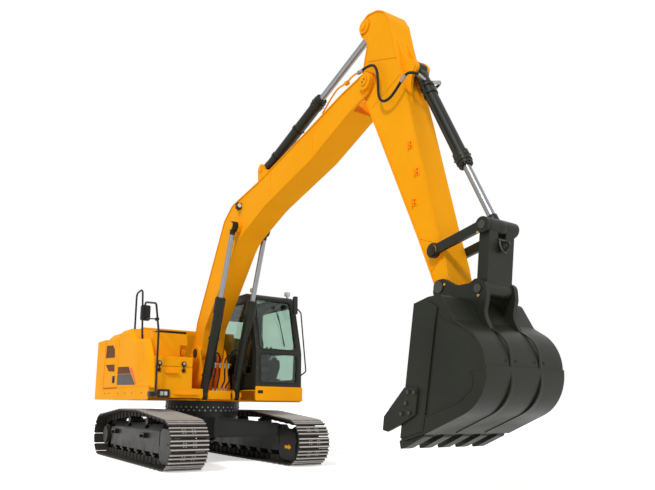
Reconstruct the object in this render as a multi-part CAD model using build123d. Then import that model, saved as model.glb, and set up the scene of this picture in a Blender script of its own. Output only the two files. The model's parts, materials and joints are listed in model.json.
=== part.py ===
from build123d import *
import os
from math import atan2, cos, degrees, hypot, radians, sin

# Crawler excavator of the 21 tonne class, in millimetres.
# X points to the operator's left, -Y to the front and Z up.
# The origin is on the ground, under the middle of the slewing ring.
# Side outlines are drawn as (forward, up), so forward is -Y.

os.makedirs("parts", exist_ok=True)
nodes = {}

# Tracks
track_gauge = 2180
shoe_width = 600
track_length = 4080
track_end_radius = 385
shoe_count = 47
grouser_height = 26
shoe_thickness = 12
link_height = 95
link_width = 38
link_spacing = 156
carrier_places = (-480, 420)
track_top = 885
top_bend_radius = 420
roller_radius = 78
roller_count = 7
roller_spacing = 395
carrier_radius = 60
wheel_clearance = 0.4

# Track frames and car body
frame_width = 230
frame_low = 322
frame_high = 550
frame_roof = 650
guard_out = 127
skirt_low = 213
skirt_thickness = 10
tower_radius = 640
tower_low = 715
ring_low = 840
ring_radius = 665

# Upper structure
deck_low = 1035
deck_high = 1230
deck_width = 2700
deck_front = 870
tail_radius = 2750
deck_rear = 990 - tail_radius
body_low = deck_high
skin = 40
tank_top = 2080
hood_top = 2300
tail_top = 2200
engine_bay_front = -640
panel_seam = -850
shoulder = 110
cheek_width = 90
running_gap = 0.3
ring_height = deck_low - running_gap - ring_low
seat_gap = 0.3
swing_gap = 6

# Cab
cab_right = 402
cab_left = 1330
cab_rear = -520
cab_front = 1245
cab_low = 1255
cab_high = 2950
cab_post = 70
cab_wall = 26
glass_thickness = 6

# Boom, arm and bucket
boom_foot = (200, 1880)
boom_length = 5700
boom_angle = 32.7
boom_width = 420
boom_plate = 12
flange_thickness = 16
arm_length = 3000
arm_angle = -68.07
arm_width = 336
fork_gap = 6
pin_gap = 0.1
slide_gap = 0.5

# Cylinders: places of their pins and the sizes of barrel and rod
boom_cylinder_base = (687, 1132)
boom_cylinder_eye = (2307, 911)
boom_cylinder_side = 305
arm_cylinder_base = (3225, 1358)
arm_cylinder_eye = (-777, 241)
bucket_cylinder_base = (380, 604)
barrel_wall = 12
bore_end = 10
gland_depth = 40
piston_depth = 50

# Bucket linkage at the stored pose
rocker_pin_rise = 400
rocker_pin_forward = -80
rocker_length = 660
rocker_angle = 10.5
bucket_pin_spacing = 500
bucket_pin_angle = -9.8
bucket_width = 1200
bucket_wall = 20
cheek_lean = 0.076
wrap_thickness = 12


def outline(rows):
    """Closed face from rows of (forward, up, corner radius)."""
    points = [(forward, up) for forward, up, corner in rows]
    corners = [corner for forward, up, corner in rows]
    return make_face(FilletPolyline(*points, radius=corners, close=True))


def side_plane(x=0, pin=(0, 0), angle=0):
    """Plane at X = x whose first axis leaves the pin forward and up at the angle."""
    turn = radians(angle)
    return Plane(origin=(x, -pin[0], pin[1]), x_dir=(0, -cos(turn), sin(turn)), z_dir=(-1, 0, 0))


def slab(face, x_low, x_high, pin=(0, 0), angle=0):
    """A side outline given thickness from x_low to x_high."""
    return extrude(side_plane(x_high, pin, angle) * face, amount=x_high - x_low)


def both(face, x_low, x_high, pin=(0, 0), angle=0):
    """The same plate on both sides of the middle plane."""
    return slab(face, x_low, x_high, pin, angle) + slab(face, -x_high, -x_low, pin, angle)


def place(pin, angle, along, up):
    """(forward, up) in the machine of a point given along and above a pin line."""
    turn = radians(angle)
    return (pin[0] + along * cos(turn) - up * sin(turn), pin[1] + along * sin(turn) + up * cos(turn))


def round_bar(forward, up, radius, x_low, x_high):
    """Cylinder across the machine."""
    middle = (x_low + x_high) / 2
    return Pos(middle, -forward, up) * Rot(0, 90, 0) * Cylinder(radius, x_high - x_low)


def block(x_low, x_high, rear, front, low, high):
    """Box between faces, with rear and front measured forward."""
    middle = ((x_low + x_high) / 2, -(rear + front) / 2, (low + high) / 2)
    return Pos(*middle) * Box(x_high - x_low, front - rear, high - low)


def bar(start, end, radius):
    """Round bar between two points (x, forward, up)."""
    first = Vector(start[0], -start[1], start[2])
    last = Vector(end[0], -end[1], end[2])
    run = last - first
    plane = Plane(origin=first, z_dir=run.normalized())
    return plane * Cylinder(radius, run.length, align=from_low)


def pin_with_caps(place_of_pin, radius, half_length, cap_radius, cap_thickness):
    """Pin across the machine with a retaining cap at each end."""
    pin = round_bar(*place_of_pin, radius, -half_length, half_length)
    for side in (-1, 1):
        ends = sorted((side * half_length, side * (half_length + cap_thickness)))
        pin += round_bar(*place_of_pin, cap_radius, *ends)
    return pin


knuckle_radius = 12
knuckle_length = 50
hinge_pin_radius = 7
from_low = (Align.CENTER, Align.CENTER, Align.MIN)


def hinge(moving, fixed, x, forward, up, direction, leaf):
    """Both pieces with a lift-off hinge: a knuckle on each, the fixed one with the pin."""
    plane = Plane(origin=(x, -forward, up), z_dir=direction)
    room_radius = knuckle_radius + swing_gap
    moving -= plane * Pos(0, 0, -knuckle_length - swing_gap) * Cylinder(
        room_radius, knuckle_length + swing_gap, align=from_low)
    fixed -= plane * Cylinder(room_radius, knuckle_length + swing_gap, align=from_low)
    fixed += leaf
    moving += plane * Cylinder(knuckle_radius, knuckle_length, align=from_low)
    moving -= plane * Cylinder(hinge_pin_radius + pin_gap, knuckle_length, align=from_low)
    fixed += plane * Pos(0, 0, -knuckle_length) * Cylinder(
        knuckle_radius, knuckle_length - seat_gap, align=from_low)
    fixed += plane * Pos(0, 0, -knuckle_length) * Cylinder(hinge_pin_radius, 2 * knuckle_length, align=from_low)
    return moving, fixed


# Track loop: its outline is a path of straight runs and arcs, walked by distance
wheel_base = track_length - 2 * track_end_radius
half_base = wheel_base / 2


def track_path(depth):
    """Runs of the loop at a depth below the grouser tips, counter-clockwise from the rear low point."""
    end_radius = track_end_radius - depth
    bend = top_bend_radius - depth
    runs = [("line", (-half_base, depth), (half_base, depth))]
    centres = [(half_base, track_end_radius, end_radius)]
    for carrier in reversed(carrier_places):
        centres.append((carrier, track_top - top_bend_radius, bend))
    centres.append((-half_base, track_end_radius, end_radius))
    start = -90
    for number, (forward, up, radius) in enumerate(centres):
        if number + 1 < len(centres):
            after = centres[number + 1]
            gap = hypot(after[0] - forward, after[1] - up)
            heading = degrees(atan2(after[1] - up, after[0] - forward))
            lean = degrees(atan2(radius - after[2], gap))
            stop = heading - 90 + lean
            stop = stop % 360
        else:
            stop = 270
        runs.append(("arc", (forward, up), radius, start, stop))
        if number + 1 < len(centres):
            angle = radians(stop)
            first = (forward + radius * cos(angle), up + radius * sin(angle))
            last = (after[0] + after[2] * cos(angle), after[1] + after[2] * sin(angle))
            runs.append(("line", first, last))
            start = stop
    return runs


def path_length(runs):
    total = 0
    for run in runs:
        if run[0] == "line":
            total += hypot(run[2][0] - run[1][0], run[2][1] - run[1][1])
        else:
            total += run[2] * radians(run[4] - run[3])
    return total


def path_point(runs, distance, height):
    """Point at a distance along the loop and a height outside it."""
    for run in runs:
        if run[0] == "line":
            length = hypot(run[2][0] - run[1][0], run[2][1] - run[1][1])
        else:
            length = run[2] * radians(run[4] - run[3])
        if distance > length + 1e-6:
            distance -= length
            continue
        if run[0] == "line":
            ahead = ((run[2][0] - run[1][0]) / length, (run[2][1] - run[1][1]) / length)
            return (run[1][0] + ahead[0] * distance + ahead[1] * height,
                    run[1][1] + ahead[1] * distance - ahead[0] * height)
        angle = radians(run[3]) + distance / run[2]
        reach = run[2] + height
        return (run[1][0] + reach * cos(angle), run[1][1] + reach * sin(angle))
    return path_point(runs, 0, height)


def smooth_loop(depth):
    """Face bounded by the loop at a depth below the grouser tips."""
    edges = []
    for run in track_path(depth):
        if run[0] == "line":
            edges.append(Line(run[1], run[2]))
        else:
            middle = radians((run[3] + run[4]) / 2)
            ends = [radians(run[3]), radians(run[4])]
            spots = [(run[1][0] + run[2] * cos(a), run[1][1] + run[2] * sin(a))
                     for a in (ends[0], middle, ends[1])]
            edges.append(ThreePointArc(*spots))
    return make_face(edges)


# columns: share of the shoe's pitch, height over the shoe plate
grousers = (
    (0.03, 0), (0.08, grouser_height), (0.14, 0),
    (0.40, 0), (0.45, grouser_height - 4), (0.50, 0),
    (0.76, 0), (0.81, grouser_height - 4), (0.86, 0),
)


def make_track(centre):
    plate_runs = track_path(grouser_height)
    pitch = path_length(plate_runs) / shoe_count
    points = [path_point(plate_runs, (shoe + share) * pitch, height)
              for shoe in range(shoe_count) for share, height in grousers]
    outer = make_face(Polyline(*points, close=True))
    band = outer - smooth_loop(grouser_height + shoe_thickness)
    low_depth = grouser_height + shoe_thickness + link_height
    rail = smooth_loop(grouser_height + shoe_thickness - 3) - smooth_loop(low_depth)
    track = slab(band, centre - shoe_width / 2, centre + shoe_width / 2)
    for side in (-1, 1):
        middle = centre + side * link_spacing / 2
        track += slab(rail, middle - link_width / 2, middle + link_width / 2)
    return track


drive_seat = 75
motor_radius = 150
rail_depth = grouser_height + shoe_thickness + link_height
roller_height = rail_depth + roller_radius + wheel_clearance
carrier_height = track_top - rail_depth - carrier_radius - wheel_clearance
tread_half = link_spacing / 2 + link_width / 2 + 6
flange_half = link_spacing / 2 - link_width / 2 - 3


def wheel(forward, up, centre, radius, flange):
    """Roller with two treads and a pair of flanges between the links."""
    body = round_bar(forward, up, radius, centre - tread_half, centre + tread_half)
    for side in (-1, 1):
        ends = sorted((centre + side * flange_half, centre + side * (flange_half - 18)))
        body += round_bar(forward, up, flange, *ends)
    return body


def sprocket_face():
    """Toothed outline: one tooth for each chain pitch round the wheel."""
    teeth = 21
    root = track_end_radius - rail_depth + 20
    tip = track_end_radius - grouser_height - shoe_thickness - 14
    points = []
    for tooth in range(teeth):
        for share, radius in ((-0.5, root), (-0.22, root + 8), (-0.09, tip), (0.09, tip), (0.22, root + 8)):
            angle = radians((tooth + share) * 360 / teeth)
            points.append((-half_base + radius * cos(angle), track_end_radius + radius * sin(angle)))
    return make_face(Polyline(*points, close=True))


inner_face = track_gauge / 2 - frame_width / 2 - skirt_thickness
# rows: distance from the middle, rear and front along the machine, low and high
leg_near = (60, 0, 655, 430, 742)
leg_far = (inner_face, 600, 1070, 466, 663)


def make_track_frame(centre):
    """Box beam with a sloped roof, side plates over the rollers and guard plates at the idler."""
    half = frame_width / 2
    inward = -1 if centre > 0 else 1
    frame_rear = -half_base + track_end_radius - 40
    rows = (
        (frame_rear, frame_low, 0), (1180, frame_low, 0), (1330, frame_low + 40, 30),
        (1330, frame_high - 20, 30), (1180, frame_high, 0), (frame_rear, frame_high, 0),
    )
    frame = slab(outline(rows), centre - half, centre + half)
    ridge = half * 0.45
    section = Polyline((-half, frame_high), (half, frame_high), (ridge, frame_roof), (-ridge, frame_roof), close=True)
    roof = extrude(Plane(origin=(centre, 1240, 0), x_dir=(1, 0, 0), z_dir=(0, -1, 0)) * make_face(section), 2340)
    for carrier in carrier_places:
        roof -= block(centre - half - 5, centre + half + 5, carrier - 95, carrier + 95, frame_high + 20, frame_roof + 5)
    frame += roof
    for end in (-1070, 600):
        pad = sorted((centre + inward * (half - 40), centre + inward * (half + skirt_thickness)))
        frame += block(*pad, end, end + 470, frame_high - 20, leg_far[4])
    side_rows = ((-1450, skirt_low, 0), (1110, skirt_low, 0), (1110, frame_high, 0), (-1450, frame_high - 20, 0))
    guard_rows = (
        (1150, 120, 0), (1235, 75, 0), (1560, 62, 0), (1640, 120, 0), (1650, 510, 0), (1570, 592, 0),
        (1230, 600, 0), (1150, 540, 0))
    guard = outline(guard_rows)
    for side in (-1, 1):
        edge = sorted((centre + side * (half - 2), centre + side * (half + skirt_thickness)))
        frame += slab(outline(side_rows), *edge)
        frame += slab(guard, *sorted((centre + side * (tread_half + 4), centre + side * guard_out)))
    outer = -inward
    for step_rear in (-1130, 440):
        shelf = sorted((centre + outer * half, centre + outer * (half + 75)))
        frame += block(*shelf, step_rear - 110, step_rear + 110, 478, 502)
        for end in (-100, 84):
            frame += block(*shelf, step_rear + end, step_rear + end + 16, 420, 480)
    seat = sorted((centre + inward * drive_seat, centre + inward * (drive_seat + 34)))
    mount = Pos(-half_base, track_end_radius) * Circle(225)
    mount += Pos((frame_rear - half_base) / 2 + 30, (frame_low + frame_high) / 2) * Rectangle(
        frame_rear + half_base + 60, frame_high - frame_low)
    frame += slab(mount, *seat)
    frame -= round_bar(-half_base, track_end_radius, motor_radius + 2, centre - 300, centre + 300)
    for carrier in carrier_places:
        post = sorted((centre + inward * (tread_half + 5), centre + inward * (tread_half + 30)))
        frame += block(*post, carrier - 45, carrier + 45, frame_high - 40, carrier_height + 40)
        axle = sorted((centre + inward * (tread_half + 30), centre - inward * tread_half))
        frame += round_bar(carrier, carrier_height, 24, *axle)
    for number in range(roller_count):
        forward = (number - (roller_count - 1) / 2) * roller_spacing
        frame += round_bar(forward, roller_height, 34, centre - tread_half - 26, centre + tread_half + 26)
        for side in (-1, 1):
            ends = sorted((centre + side * (tread_half + 4), centre + side * (tread_half + 24)))
            frame += block(*ends, forward - 60, forward + 60, roller_height - 40, frame_low + 2)
    frame += round_bar(half_base, track_end_radius, 36, centre - guard_out - 6, centre + guard_out + 6)
    return frame


rollers = []
idlers = []
final_drives = []
for name, side in (("right", -1), ("left", 1)):
    centre = side * track_gauge / 2
    nodes["track_" + name] = make_track(centre)
    nodes["track_frame_" + name] = make_track_frame(centre)
    for number in range(roller_count):
        forward = (number - (roller_count - 1) / 2) * roller_spacing
        hole = round_bar(forward, roller_height, 34 + pin_gap, centre - 300, centre + 300)
        rollers.append(wheel(forward, roller_height, centre, roller_radius, roller_radius + 16) - hole)
    for carrier in carrier_places:
        hole = round_bar(carrier, carrier_height, 24 + pin_gap, centre - 300, centre + 300)
        rollers.append(wheel(carrier, carrier_height, centre, carrier_radius, carrier_radius + 12) - hole)
    idler_radius = track_end_radius - rail_depth - wheel_clearance
    idler = wheel(half_base, track_end_radius, centre, idler_radius, idler_radius + 20)
    idler -= round_bar(half_base, track_end_radius, 36 + pin_gap, centre - 300, centre + 300)
    idlers.append(idler)
    drive = slab(sprocket_face(), centre - 30, centre + 30)
    # columns: radius, inner end and outer end measured outward from the sprocket's middle
    for radius, inner, outer in ((190, 30, 150), (150, 150, 185), (205, -drive_seat + 0.3, -30),
                                 (motor_radius, -190, -30)):
        drive += round_bar(-half_base, track_end_radius, radius, *sorted((centre + side * inner, centre + side * outer)))
    final_drives.append(drive)
nodes["rollers"] = Compound(rollers)
nodes["idlers"] = Compound(idlers)
nodes["final_drives"] = Compound(final_drives)

# Car body: a tower under the ring and four box legs to the track frames
tower = Pos(0, 0, (tower_low + ring_low) / 2) * (
    Cylinder(tower_radius, ring_low - tower_low) - Cylinder(tower_radius - 45, ring_low - tower_low + 1))
tower += Pos(0, 0, tower_low + 15) * Cylinder(tower_radius, 30)


def leg(across, along, wall):
    """Box leg from the middle to a track frame, smaller all round by the wall."""
    sections = []
    for away, rear, front, low, high in (leg_near, leg_far):
        middle = (across * away, -along * (rear + front) / 2, (low + high) / 2)
        plane = Plane(origin=middle, z_dir=(across, 0, 0), x_dir=(0, 1, 0))
        sections.append(plane * Rectangle(front - rear - 2 * wall, high - low - 2 * min(wall, 14)))
    return loft(sections)


def leg_flange(across, along, top):
    """Plate along the top or bottom of a leg, wider than the leg."""
    sections = []
    for away, rear, front, low, high in (leg_near, leg_far):
        level = high - 4 if top else low - 14
        middle = (across * away, -along * (rear + front) / 2, level + 9)
        plane = Plane(origin=middle, z_dir=(across, 0, 0), x_dir=(0, 1, 0))
        sections.append(plane * Rectangle(front - rear + 50, 18))
    return loft(sections)


car_body = tower
middle_box = block(-leg_near[0] - 2, leg_near[0] + 2, -leg_near[2], leg_near[2], leg_near[3], leg_near[4])
car_body += middle_box
corners = [(across, along) for across in (-1, 1) for along in (-1, 1)]
for across, along in corners:
    car_body += leg(across, along, 0)
for across, along in corners:
    car_body -= leg(across, along, 18)
for across, along in corners:
    car_body += leg_flange(across, along, True)
    car_body += leg_flange(across, along, False)
nodes["car_body"] = car_body

nodes["slewing_ring"] = Pos(0, 0, ring_low + ring_height / 2) * (
    Cylinder(ring_radius, ring_height) - Cylinder(ring_radius - 110, ring_height + 2))

# Revolving frame: a bottom plate on the ring, cross members, the boom foot plates and cylinder forks
half_deck = deck_width / 2
deck_plate = 12
bottom_plate = 25
foot_plate_thickness = 30
foot_gap = boom_width / 2 + fork_gap + 20
foot_out = foot_gap + foot_plate_thickness
deck = block(-720, 720, deck_rear, 640, deck_low, deck_low + bottom_plate)
member_places = (deck_rear, -900, 100)
member_length = 80
for rear in member_places:
    deck += block(-foot_gap - 5, foot_gap + 5, rear, rear + member_length, deck_low + 20, deck_high - 5)
foot_plate = outline((
    (deck_rear, deck_low + 20, 0), (560, deck_low + 20, 0), (560, 1300, 60), (350, 1940, 120),
    (200, 2050, 150), (40, 1950, 120), (-300, 1400, 200), (-620, deck_high - 5, 0), (deck_rear, deck_high - 5, 0)))
deck += both(foot_plate, foot_gap, foot_out)
fork_inner = 48 + slide_gap
fork_thickness = 28
fork = outline((
    (300, deck_low, 0), (720, deck_low, 40), (785, 1100, 60), (770, 1200, 60), (690, 1235, 80),
    (560, 1225, 60), (300, 1225, 0)))
for side in (-1, 1):
    for edge in (-1, 1):
        middle = side * boom_cylinder_side + edge * (fork_inner + fork_thickness / 2)
        deck += slab(fork, middle - fork_thickness / 2, middle + fork_thickness / 2)
deck += block(-400, 400, 300, 720, deck_low, deck_low + 12)
foot_bore = round_bar(*boom_foot, 55 + pin_gap, -500, 500)
base_bore = round_bar(*boom_cylinder_base, 45 + pin_gap, -500, 500)
deck -= foot_bore
deck -= base_bore
nodes["revolving_frame"] = deck

# Side frames: each a skirt, a deck plate and its share of the cross members
side_frames = []
for side in (-1, 1):
    front = deck_front if side < 0 else cab_front
    skirt = outline((
        (deck_rear, deck_low, 0), (front - 60, deck_low, 60), (front, deck_low + 40, 20),
        (front, deck_high, 10), (deck_rear, deck_high, 0)))
    frame = slab(skirt, *sorted((side * half_deck, side * (half_deck - 14))))
    inner = sorted((side * (half_deck - 10), side * 400))
    frame += block(*inner, front - 14, front, deck_low + 40, deck_high)
    frame += block(*inner, deck_rear, front - 10, deck_high - deck_plate, deck_high)
    arm_ends = sorted((side * (foot_out + seat_gap), side * (half_deck - 5)))
    for rear in member_places:
        frame += block(*arm_ends, rear, rear + member_length, deck_low + bottom_plate + seat_gap, deck_high - 5)
    side_frames.append(frame)
nodes["side_frames"] = Compound(side_frames)

foot_pins = [pin_with_caps(boom_foot, 55, foot_out + 4, 80, 12)]
for side in (-1, 1):
    middle = side * boom_cylinder_side
    low = middle - fork_inner - 30
    high = middle + fork_inner + 30
    foot_pins.append(round_bar(*boom_cylinder_base, 45, low, high))
nodes["foot_pins"] = Compound(foot_pins)

# Counterweight: a casting with a round tail
tail = Pos(0, 0, (deck_low + tail_top) / 2) * Cylinder(tail_radius, tail_top - deck_low)
tail &= block(-half_deck, half_deck, -tail_radius - 10, deck_rear - seat_gap, deck_low, tail_top)
rear_edges = tail.edges().filter_by(Axis.Z)
tail = fillet(rear_edges.sort_by(Axis.Y)[-2:], 180)
tail_wall = 40
core = Pos(0, 0, (deck_low + tail_top) / 2) * Cylinder(tail_radius - tail_wall, tail_top - deck_low - 2 * tail_wall)
core &= block(-half_deck + 110, half_deck - 110, -tail_radius, deck_rear - tail_wall, deck_low, tail_top)
nodes["counterweight"] = tail - core

# Engine housing: walls, and a roof with an opening under the lid
hood_rear = deck_rear + 8
cheek_inner = -half_deck + cheek_width


def shouldered(x_low, x_high, rear, front, low, high, slope):
    """Block whose two long top edges are bevelled."""
    shape = block(x_low, x_high, rear, front, low, high)
    return chamfer(shape.edges().filter_by(Axis.Y).group_by(Axis.Z)[-1], slope)


housing = shouldered(-half_deck + skin, half_deck - skin, hood_rear, engine_bay_front, body_low, hood_top, shoulder)
housing -= block(-half_deck, cheek_inner + swing_gap, panel_seam, engine_bay_front + 1, body_low - 1, hood_top + 1)
bay = shouldered(-half_deck + skin + 20, half_deck - skin - 20, hood_rear + 14, engine_bay_front - 14,
                 body_low - 5, hood_top - 14, shoulder - 10)
bay -= block(-half_deck, cheek_inner + swing_gap + 20, panel_seam - 14, engine_bay_front, body_low - 6, hood_top)
housing -= bay
lid_side = 900
lid_rear = hood_rear + 120
lid_front = engine_bay_front - 120
housing -= block(-lid_side, lid_side, lid_rear, lid_front, hood_top - 60, hood_top + 5)
for side in (-1, 1):
    hole = sorted((side * (half_deck - skin - 30), side * (half_deck - skin + 5)))
    hole_front = (panel_seam if side < 0 else engine_bay_front) - 90
    housing -= block(*hole, hood_rear + 90, hole_front, body_low + 60, hood_top - shoulder - 70)
nodes["engine_block"] = block(-560, 420, hood_rear + 230, engine_bay_front - 230, deck_high + seat_gap, 1960)
hood = block(-lid_side - 60, lid_side + 60, lid_rear - 60, lid_front + 60, hood_top + 6, hood_top + 90)
hood = fillet(hood.edges().group_by(Axis.Z)[-1], 40)
hood -= block(-lid_side - 46, lid_side + 46, lid_rear - 46, lid_front + 46, hood_top, hood_top + 76)
hood_pivot = hood_top + knuckle_radius + swing_gap
for x in (-700, 650):
    foot = block(x - knuckle_length, x, lid_rear - 66, lid_rear - 54, hood_top - 5, hood_pivot - 6)
    hood, housing = hinge(hood, housing, x, lid_rear - 60, hood_pivot, (1, 0, 0), foot)
nodes["engine_hood"] = hood

# Side doors of the engine housing, one skin thick
door_low = body_low + 30
door_high = hood_top - shoulder - 20


def side_door(side, rear, front, low, high):
    edge = sorted((side * (half_deck - skin + 4), side * half_deck))
    rows = ((rear, low, 30), (front, low, 30), (front, high, 30), (rear, high, 30))
    return slab(outline(rows), *edge)


pump_door = side_door(-1, hood_rear + 20, panel_seam - 12, door_low, door_high)
bay_length = engine_bay_front - hood_rear
# columns: low, high, share of the bay's length where the vent ends
for low, high, share in ((1800, 2040, 0.745), (1420, 1660, 0.568)):
    rear, front = hood_rear + 52, hood_rear + share * (panel_seam - hood_rear)
    pump_door -= block(-half_deck - 5, -half_deck + skin + 5, rear, front, low, high)
    slats = 5
    for number in range(slats):
        level = low + (number + 0.5) * (high - low) / slats
        pump_door += block(-half_deck + 8, -half_deck + skin - 8, rear - 2, front + 2, level - 9, level + 9)
split = hood_rear + 0.505 * bay_length
radiator_door = side_door(1, hood_rear + 20, split - 6, door_low, door_high)
battery_door = side_door(1, split + 6, engine_bay_front - 12, door_low, door_high)
front_edge = engine_bay_front - 12
rear_edge = hood_rear + 20
for level in (1450, 2050):
    leaf_ends = (level - knuckle_length, level - seat_gap)
    pump_edge = panel_seam - 12
    leaf = block(-half_deck, -half_deck + skin + 5, pump_edge + swing_gap, pump_edge + 12, *leaf_ends)
    pump_door, housing = hinge(pump_door, housing, -half_deck, pump_edge, level, (0, 0, 1), leaf)
    leaf = block(half_deck - skin - 5, half_deck, front_edge + swing_gap, front_edge + 12, *leaf_ends)
    battery_door, housing = hinge(battery_door, housing, half_deck, front_edge, level, (0, 0, 1), leaf)
    leaf = block(half_deck - skin - 5, half_deck, rear_edge - 14, rear_edge - swing_gap, *leaf_ends)
    radiator_door, housing = hinge(radiator_door, housing, half_deck, rear_edge, level, (0, 0, 1), leaf)
nodes["pump_door"] = pump_door
nodes["radiator_door"] = radiator_door
nodes["battery_door"] = battery_door
nodes["engine_housing"] = housing

# Right side: oil tank, fuel tank and the tool box ahead of it
tank_inner = -600
tank_rear = engine_bay_front + 6
profile_rows = (
    (tank_rear, body_low, 0), (600, body_low, 0), (600, 2055, 0), (-10, tank_top, 0), (-330, hood_top, 0),
    (tank_rear, hood_top, 0))
cover_rear = panel_seam + 6
cover_rows = (
    (cover_rear, body_low, 0), (941, body_low, 0), (845, 1700, 0), (619, 2050, 0), (-10, tank_top, 0),
    (-330, hood_top, 0), (cover_rear, hood_top, 0))
tank_wall = 9


def side_cover(inset, slope):
    """The outer side of the tanks with its top and front edges bevelled."""
    face = outline(cover_rows)
    if inset:
        face = offset(face, amount=-inset)
    cover = slab(face, -half_deck + inset, cheek_inner - inset)
    outer = cover.faces().sort_by(Axis.X)[0].edges()
    lowest = outer.sort_by(Axis.Z)[0]
    rearmost = outer.sort_by(Axis.Y)[-1]
    return chamfer([edge for edge in outer if edge not in (lowest, rearmost)], slope)


cover_slope = cheek_width - 2 * tank_wall - 2
tank = side_cover(0, cover_slope) + slab(outline(profile_rows), cheek_inner - 5, tank_inner)
tank += block(-half_deck + 130, tank_inner, -300, 592, tank_top - 40, tank_top + 80)
tank_core = slab(offset(outline(profile_rows), amount=-tank_wall), cheek_inner - 2 * tank_wall, tank_inner - tank_wall)
tank_core -= block(tank_inner - 139, tank_inner, 511, 600, 1761, 1969)
tank -= tank_core
tank -= side_cover(tank_wall, cover_slope - tank_wall)
tank -= block(-half_deck + 139, tank_inner - 9, -291, 583, tank_top - 60, tank_top + 71)
tank -= block(tank_inner - 130, tank_inner + 5, 520, 605, 1770, 1960)
box_outer = cheek_inner + swing_gap
box_top = 1580
box_front = 860
tool_box = block(box_outer, tank_inner, 606, box_front, body_low, box_top)
tool_box -= block(box_outer + 10, tank_inner - 10, 616, box_front - 10, body_low + 10, box_top + 5)
tool_box += block(-1080, -860, box_front, box_front + 40, 1470, 1500)
nodes["tool_box"] = tool_box
lid_top = 1745
lid = block(box_outer, tank_inner, 612, box_front, box_top + 6, lid_top)
lid = fillet(lid.edges().filter_by(Axis.X).group_by(Axis.Z)[-1].sort_by(Axis.Y)[0], 20)
lid -= block(box_outer + 10, tank_inner - 10, 622, box_front - 10, box_top - 5, lid_top - 10)
for x in (-1150, -730):
    foot = block(x - knuckle_length, x, 598, 612, lid_top - 11, lid_top - 1)
    lid, tank = hinge(lid, tank, x, 618, lid_top - 6, (1, 0, 0), foot)
nodes["tool_box_lid"] = lid
nodes["tanks"] = tank

# Cab: a hollow shell with its windows cut, on a floor
cab_rows = (
    (cab_rear, cab_low, 0), (cab_front, cab_low, 40), (cab_front, cab_low + 645, 300), (985, cab_high - 60, 160),
    (880, cab_high, 200), (cab_rear + 40, cab_high, 120), (cab_rear, cab_high - 260, 200))
cab_profile = outline(cab_rows)
cab = slab(cab_profile, cab_right, cab_left)
room = offset(cab_profile, amount=-cab_wall)
cab -= slab(room, cab_right + cab_wall, cab_left - cab_wall)


def window(x_low, x_high, rear, front, low, high, corner, gap=0.0):
    """Window opening through a front or rear wall, its corners rounded."""
    hole = block(x_low + gap, x_high - gap, rear, front, low + gap, high - gap)
    return fillet(hole.edges().filter_by(Axis.Y), corner)


# columns: low and high X, rear and front, low and high Z, corner radius
window_rows = (
    (cab_right + 75, cab_left - 95, 890, 1400, cab_low + 670, cab_high - 105, 50),
    (cab_right + 80, cab_left - 82, 1100, 1400, cab_low + 95, cab_low + 612, 70),
    (cab_right + 140, cab_left - 140, cab_rear - 50, cab_rear + 120, cab_high - 1000, cab_high - 330, 50))
right_window_rows = (
    (-380, cab_low + 245, 40), (1120, cab_low + 245, 40), (1150, cab_low + 645, 60), (930, cab_high - 150, 60),
    (-380, cab_high - 150, 60))
right_window = slab(outline(right_window_rows), cab_right - 20, cab_right + 80)
roof_hatch = block(cab_right + 220, cab_left - 220, -50, 650, cab_high - 80, cab_high + 20)
pane_depth = 12
pane_gap = 0.5
pane_shell = offset(cab_profile, amount=-pane_depth) - offset(cab_profile, amount=-pane_depth - glass_thickness)
pane_shell = slab(pane_shell, cab_right, cab_left)
cab_panes = []
for row in window_rows:
    cab -= window(*row)
    cab_panes.append((pane_shell & window(*row, pane_gap)).solids()[0])
cab -= roof_hatch
hatch_box = roof_hatch.bounding_box().size
hatch_inset = Pos(*roof_hatch.center()) * Box(hatch_box.X - 1, hatch_box.Y - 1, hatch_box.Z)
cab_panes.append((pane_shell & hatch_inset).solids()[0])
cab -= right_window
pane_low = cab_right + pane_depth
cab_panes.append(slab(offset(outline(right_window_rows), amount=-pane_gap), pane_low, pane_low + glass_thickness))
nodes["cab_glass"] = Compound(cab_panes)
door_rear = -260
door_low_edge = cab_low + 75
door_rows = ((door_rear, door_low_edge, 60), (1080, door_low_edge, 60), (1120, cab_low + 645, 80),
             (900, cab_high - 120, 80), (door_rear, cab_high - 120, 60))
cab -= slab(offset(outline(door_rows), amount=6), cab_left - 60, cab_left + 20)
cab_door = slab(outline(door_rows), cab_left - 30, cab_left + 8)
for level in (cab_low + 295, cab_high - 350):
    leaf = block(cab_left - 10, cab_left + 8, door_rear - 14, door_rear - swing_gap,
                 level - knuckle_length, level - seat_gap)
    cab_door, cab = hinge(cab_door, cab, cab_left + 8, door_rear, level, (0, 0, 1), leaf)
nodes["cab_frame"] = cab
upper_rows = ((door_rear + 80, cab_low + 725, 50), (1030, cab_low + 725, 50), (850, cab_high - 200, 60),
              (door_rear + 80, cab_high - 200, 50))
lower_rows = ((door_rear + 420, cab_low + 175, 40), (1000, cab_low + 175, 40), (1030, cab_low + 645, 50),
              (door_rear + 420, cab_low + 645, 40))
door_glass = []
for rows in (upper_rows, lower_rows):
    cab_door -= slab(outline(rows), cab_left - 60, cab_left + 20)
    door_glass.append(slab(offset(outline(rows), amount=-pane_gap), cab_left - 18, cab_left - 12))
nodes["cab_door"] = cab_door
nodes["cab_door_glass"] = Compound(door_glass)
floor_low = cab_low + cab_wall + seat_gap
floor_high = floor_low + 18
nodes["cab_floor"] = block(cab_right + 30, cab_left - 34, cab_rear + 30, cab_front - 60, floor_low, floor_high)
seat = block(700, 1130, 100, 560, 1560, 1680) + block(720, 1110, 20, 150, 1640, 2250)
seat += block(790, 1040, 180, 480, floor_high + seat_gap, 1580)
nodes["seat"] = seat
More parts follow.
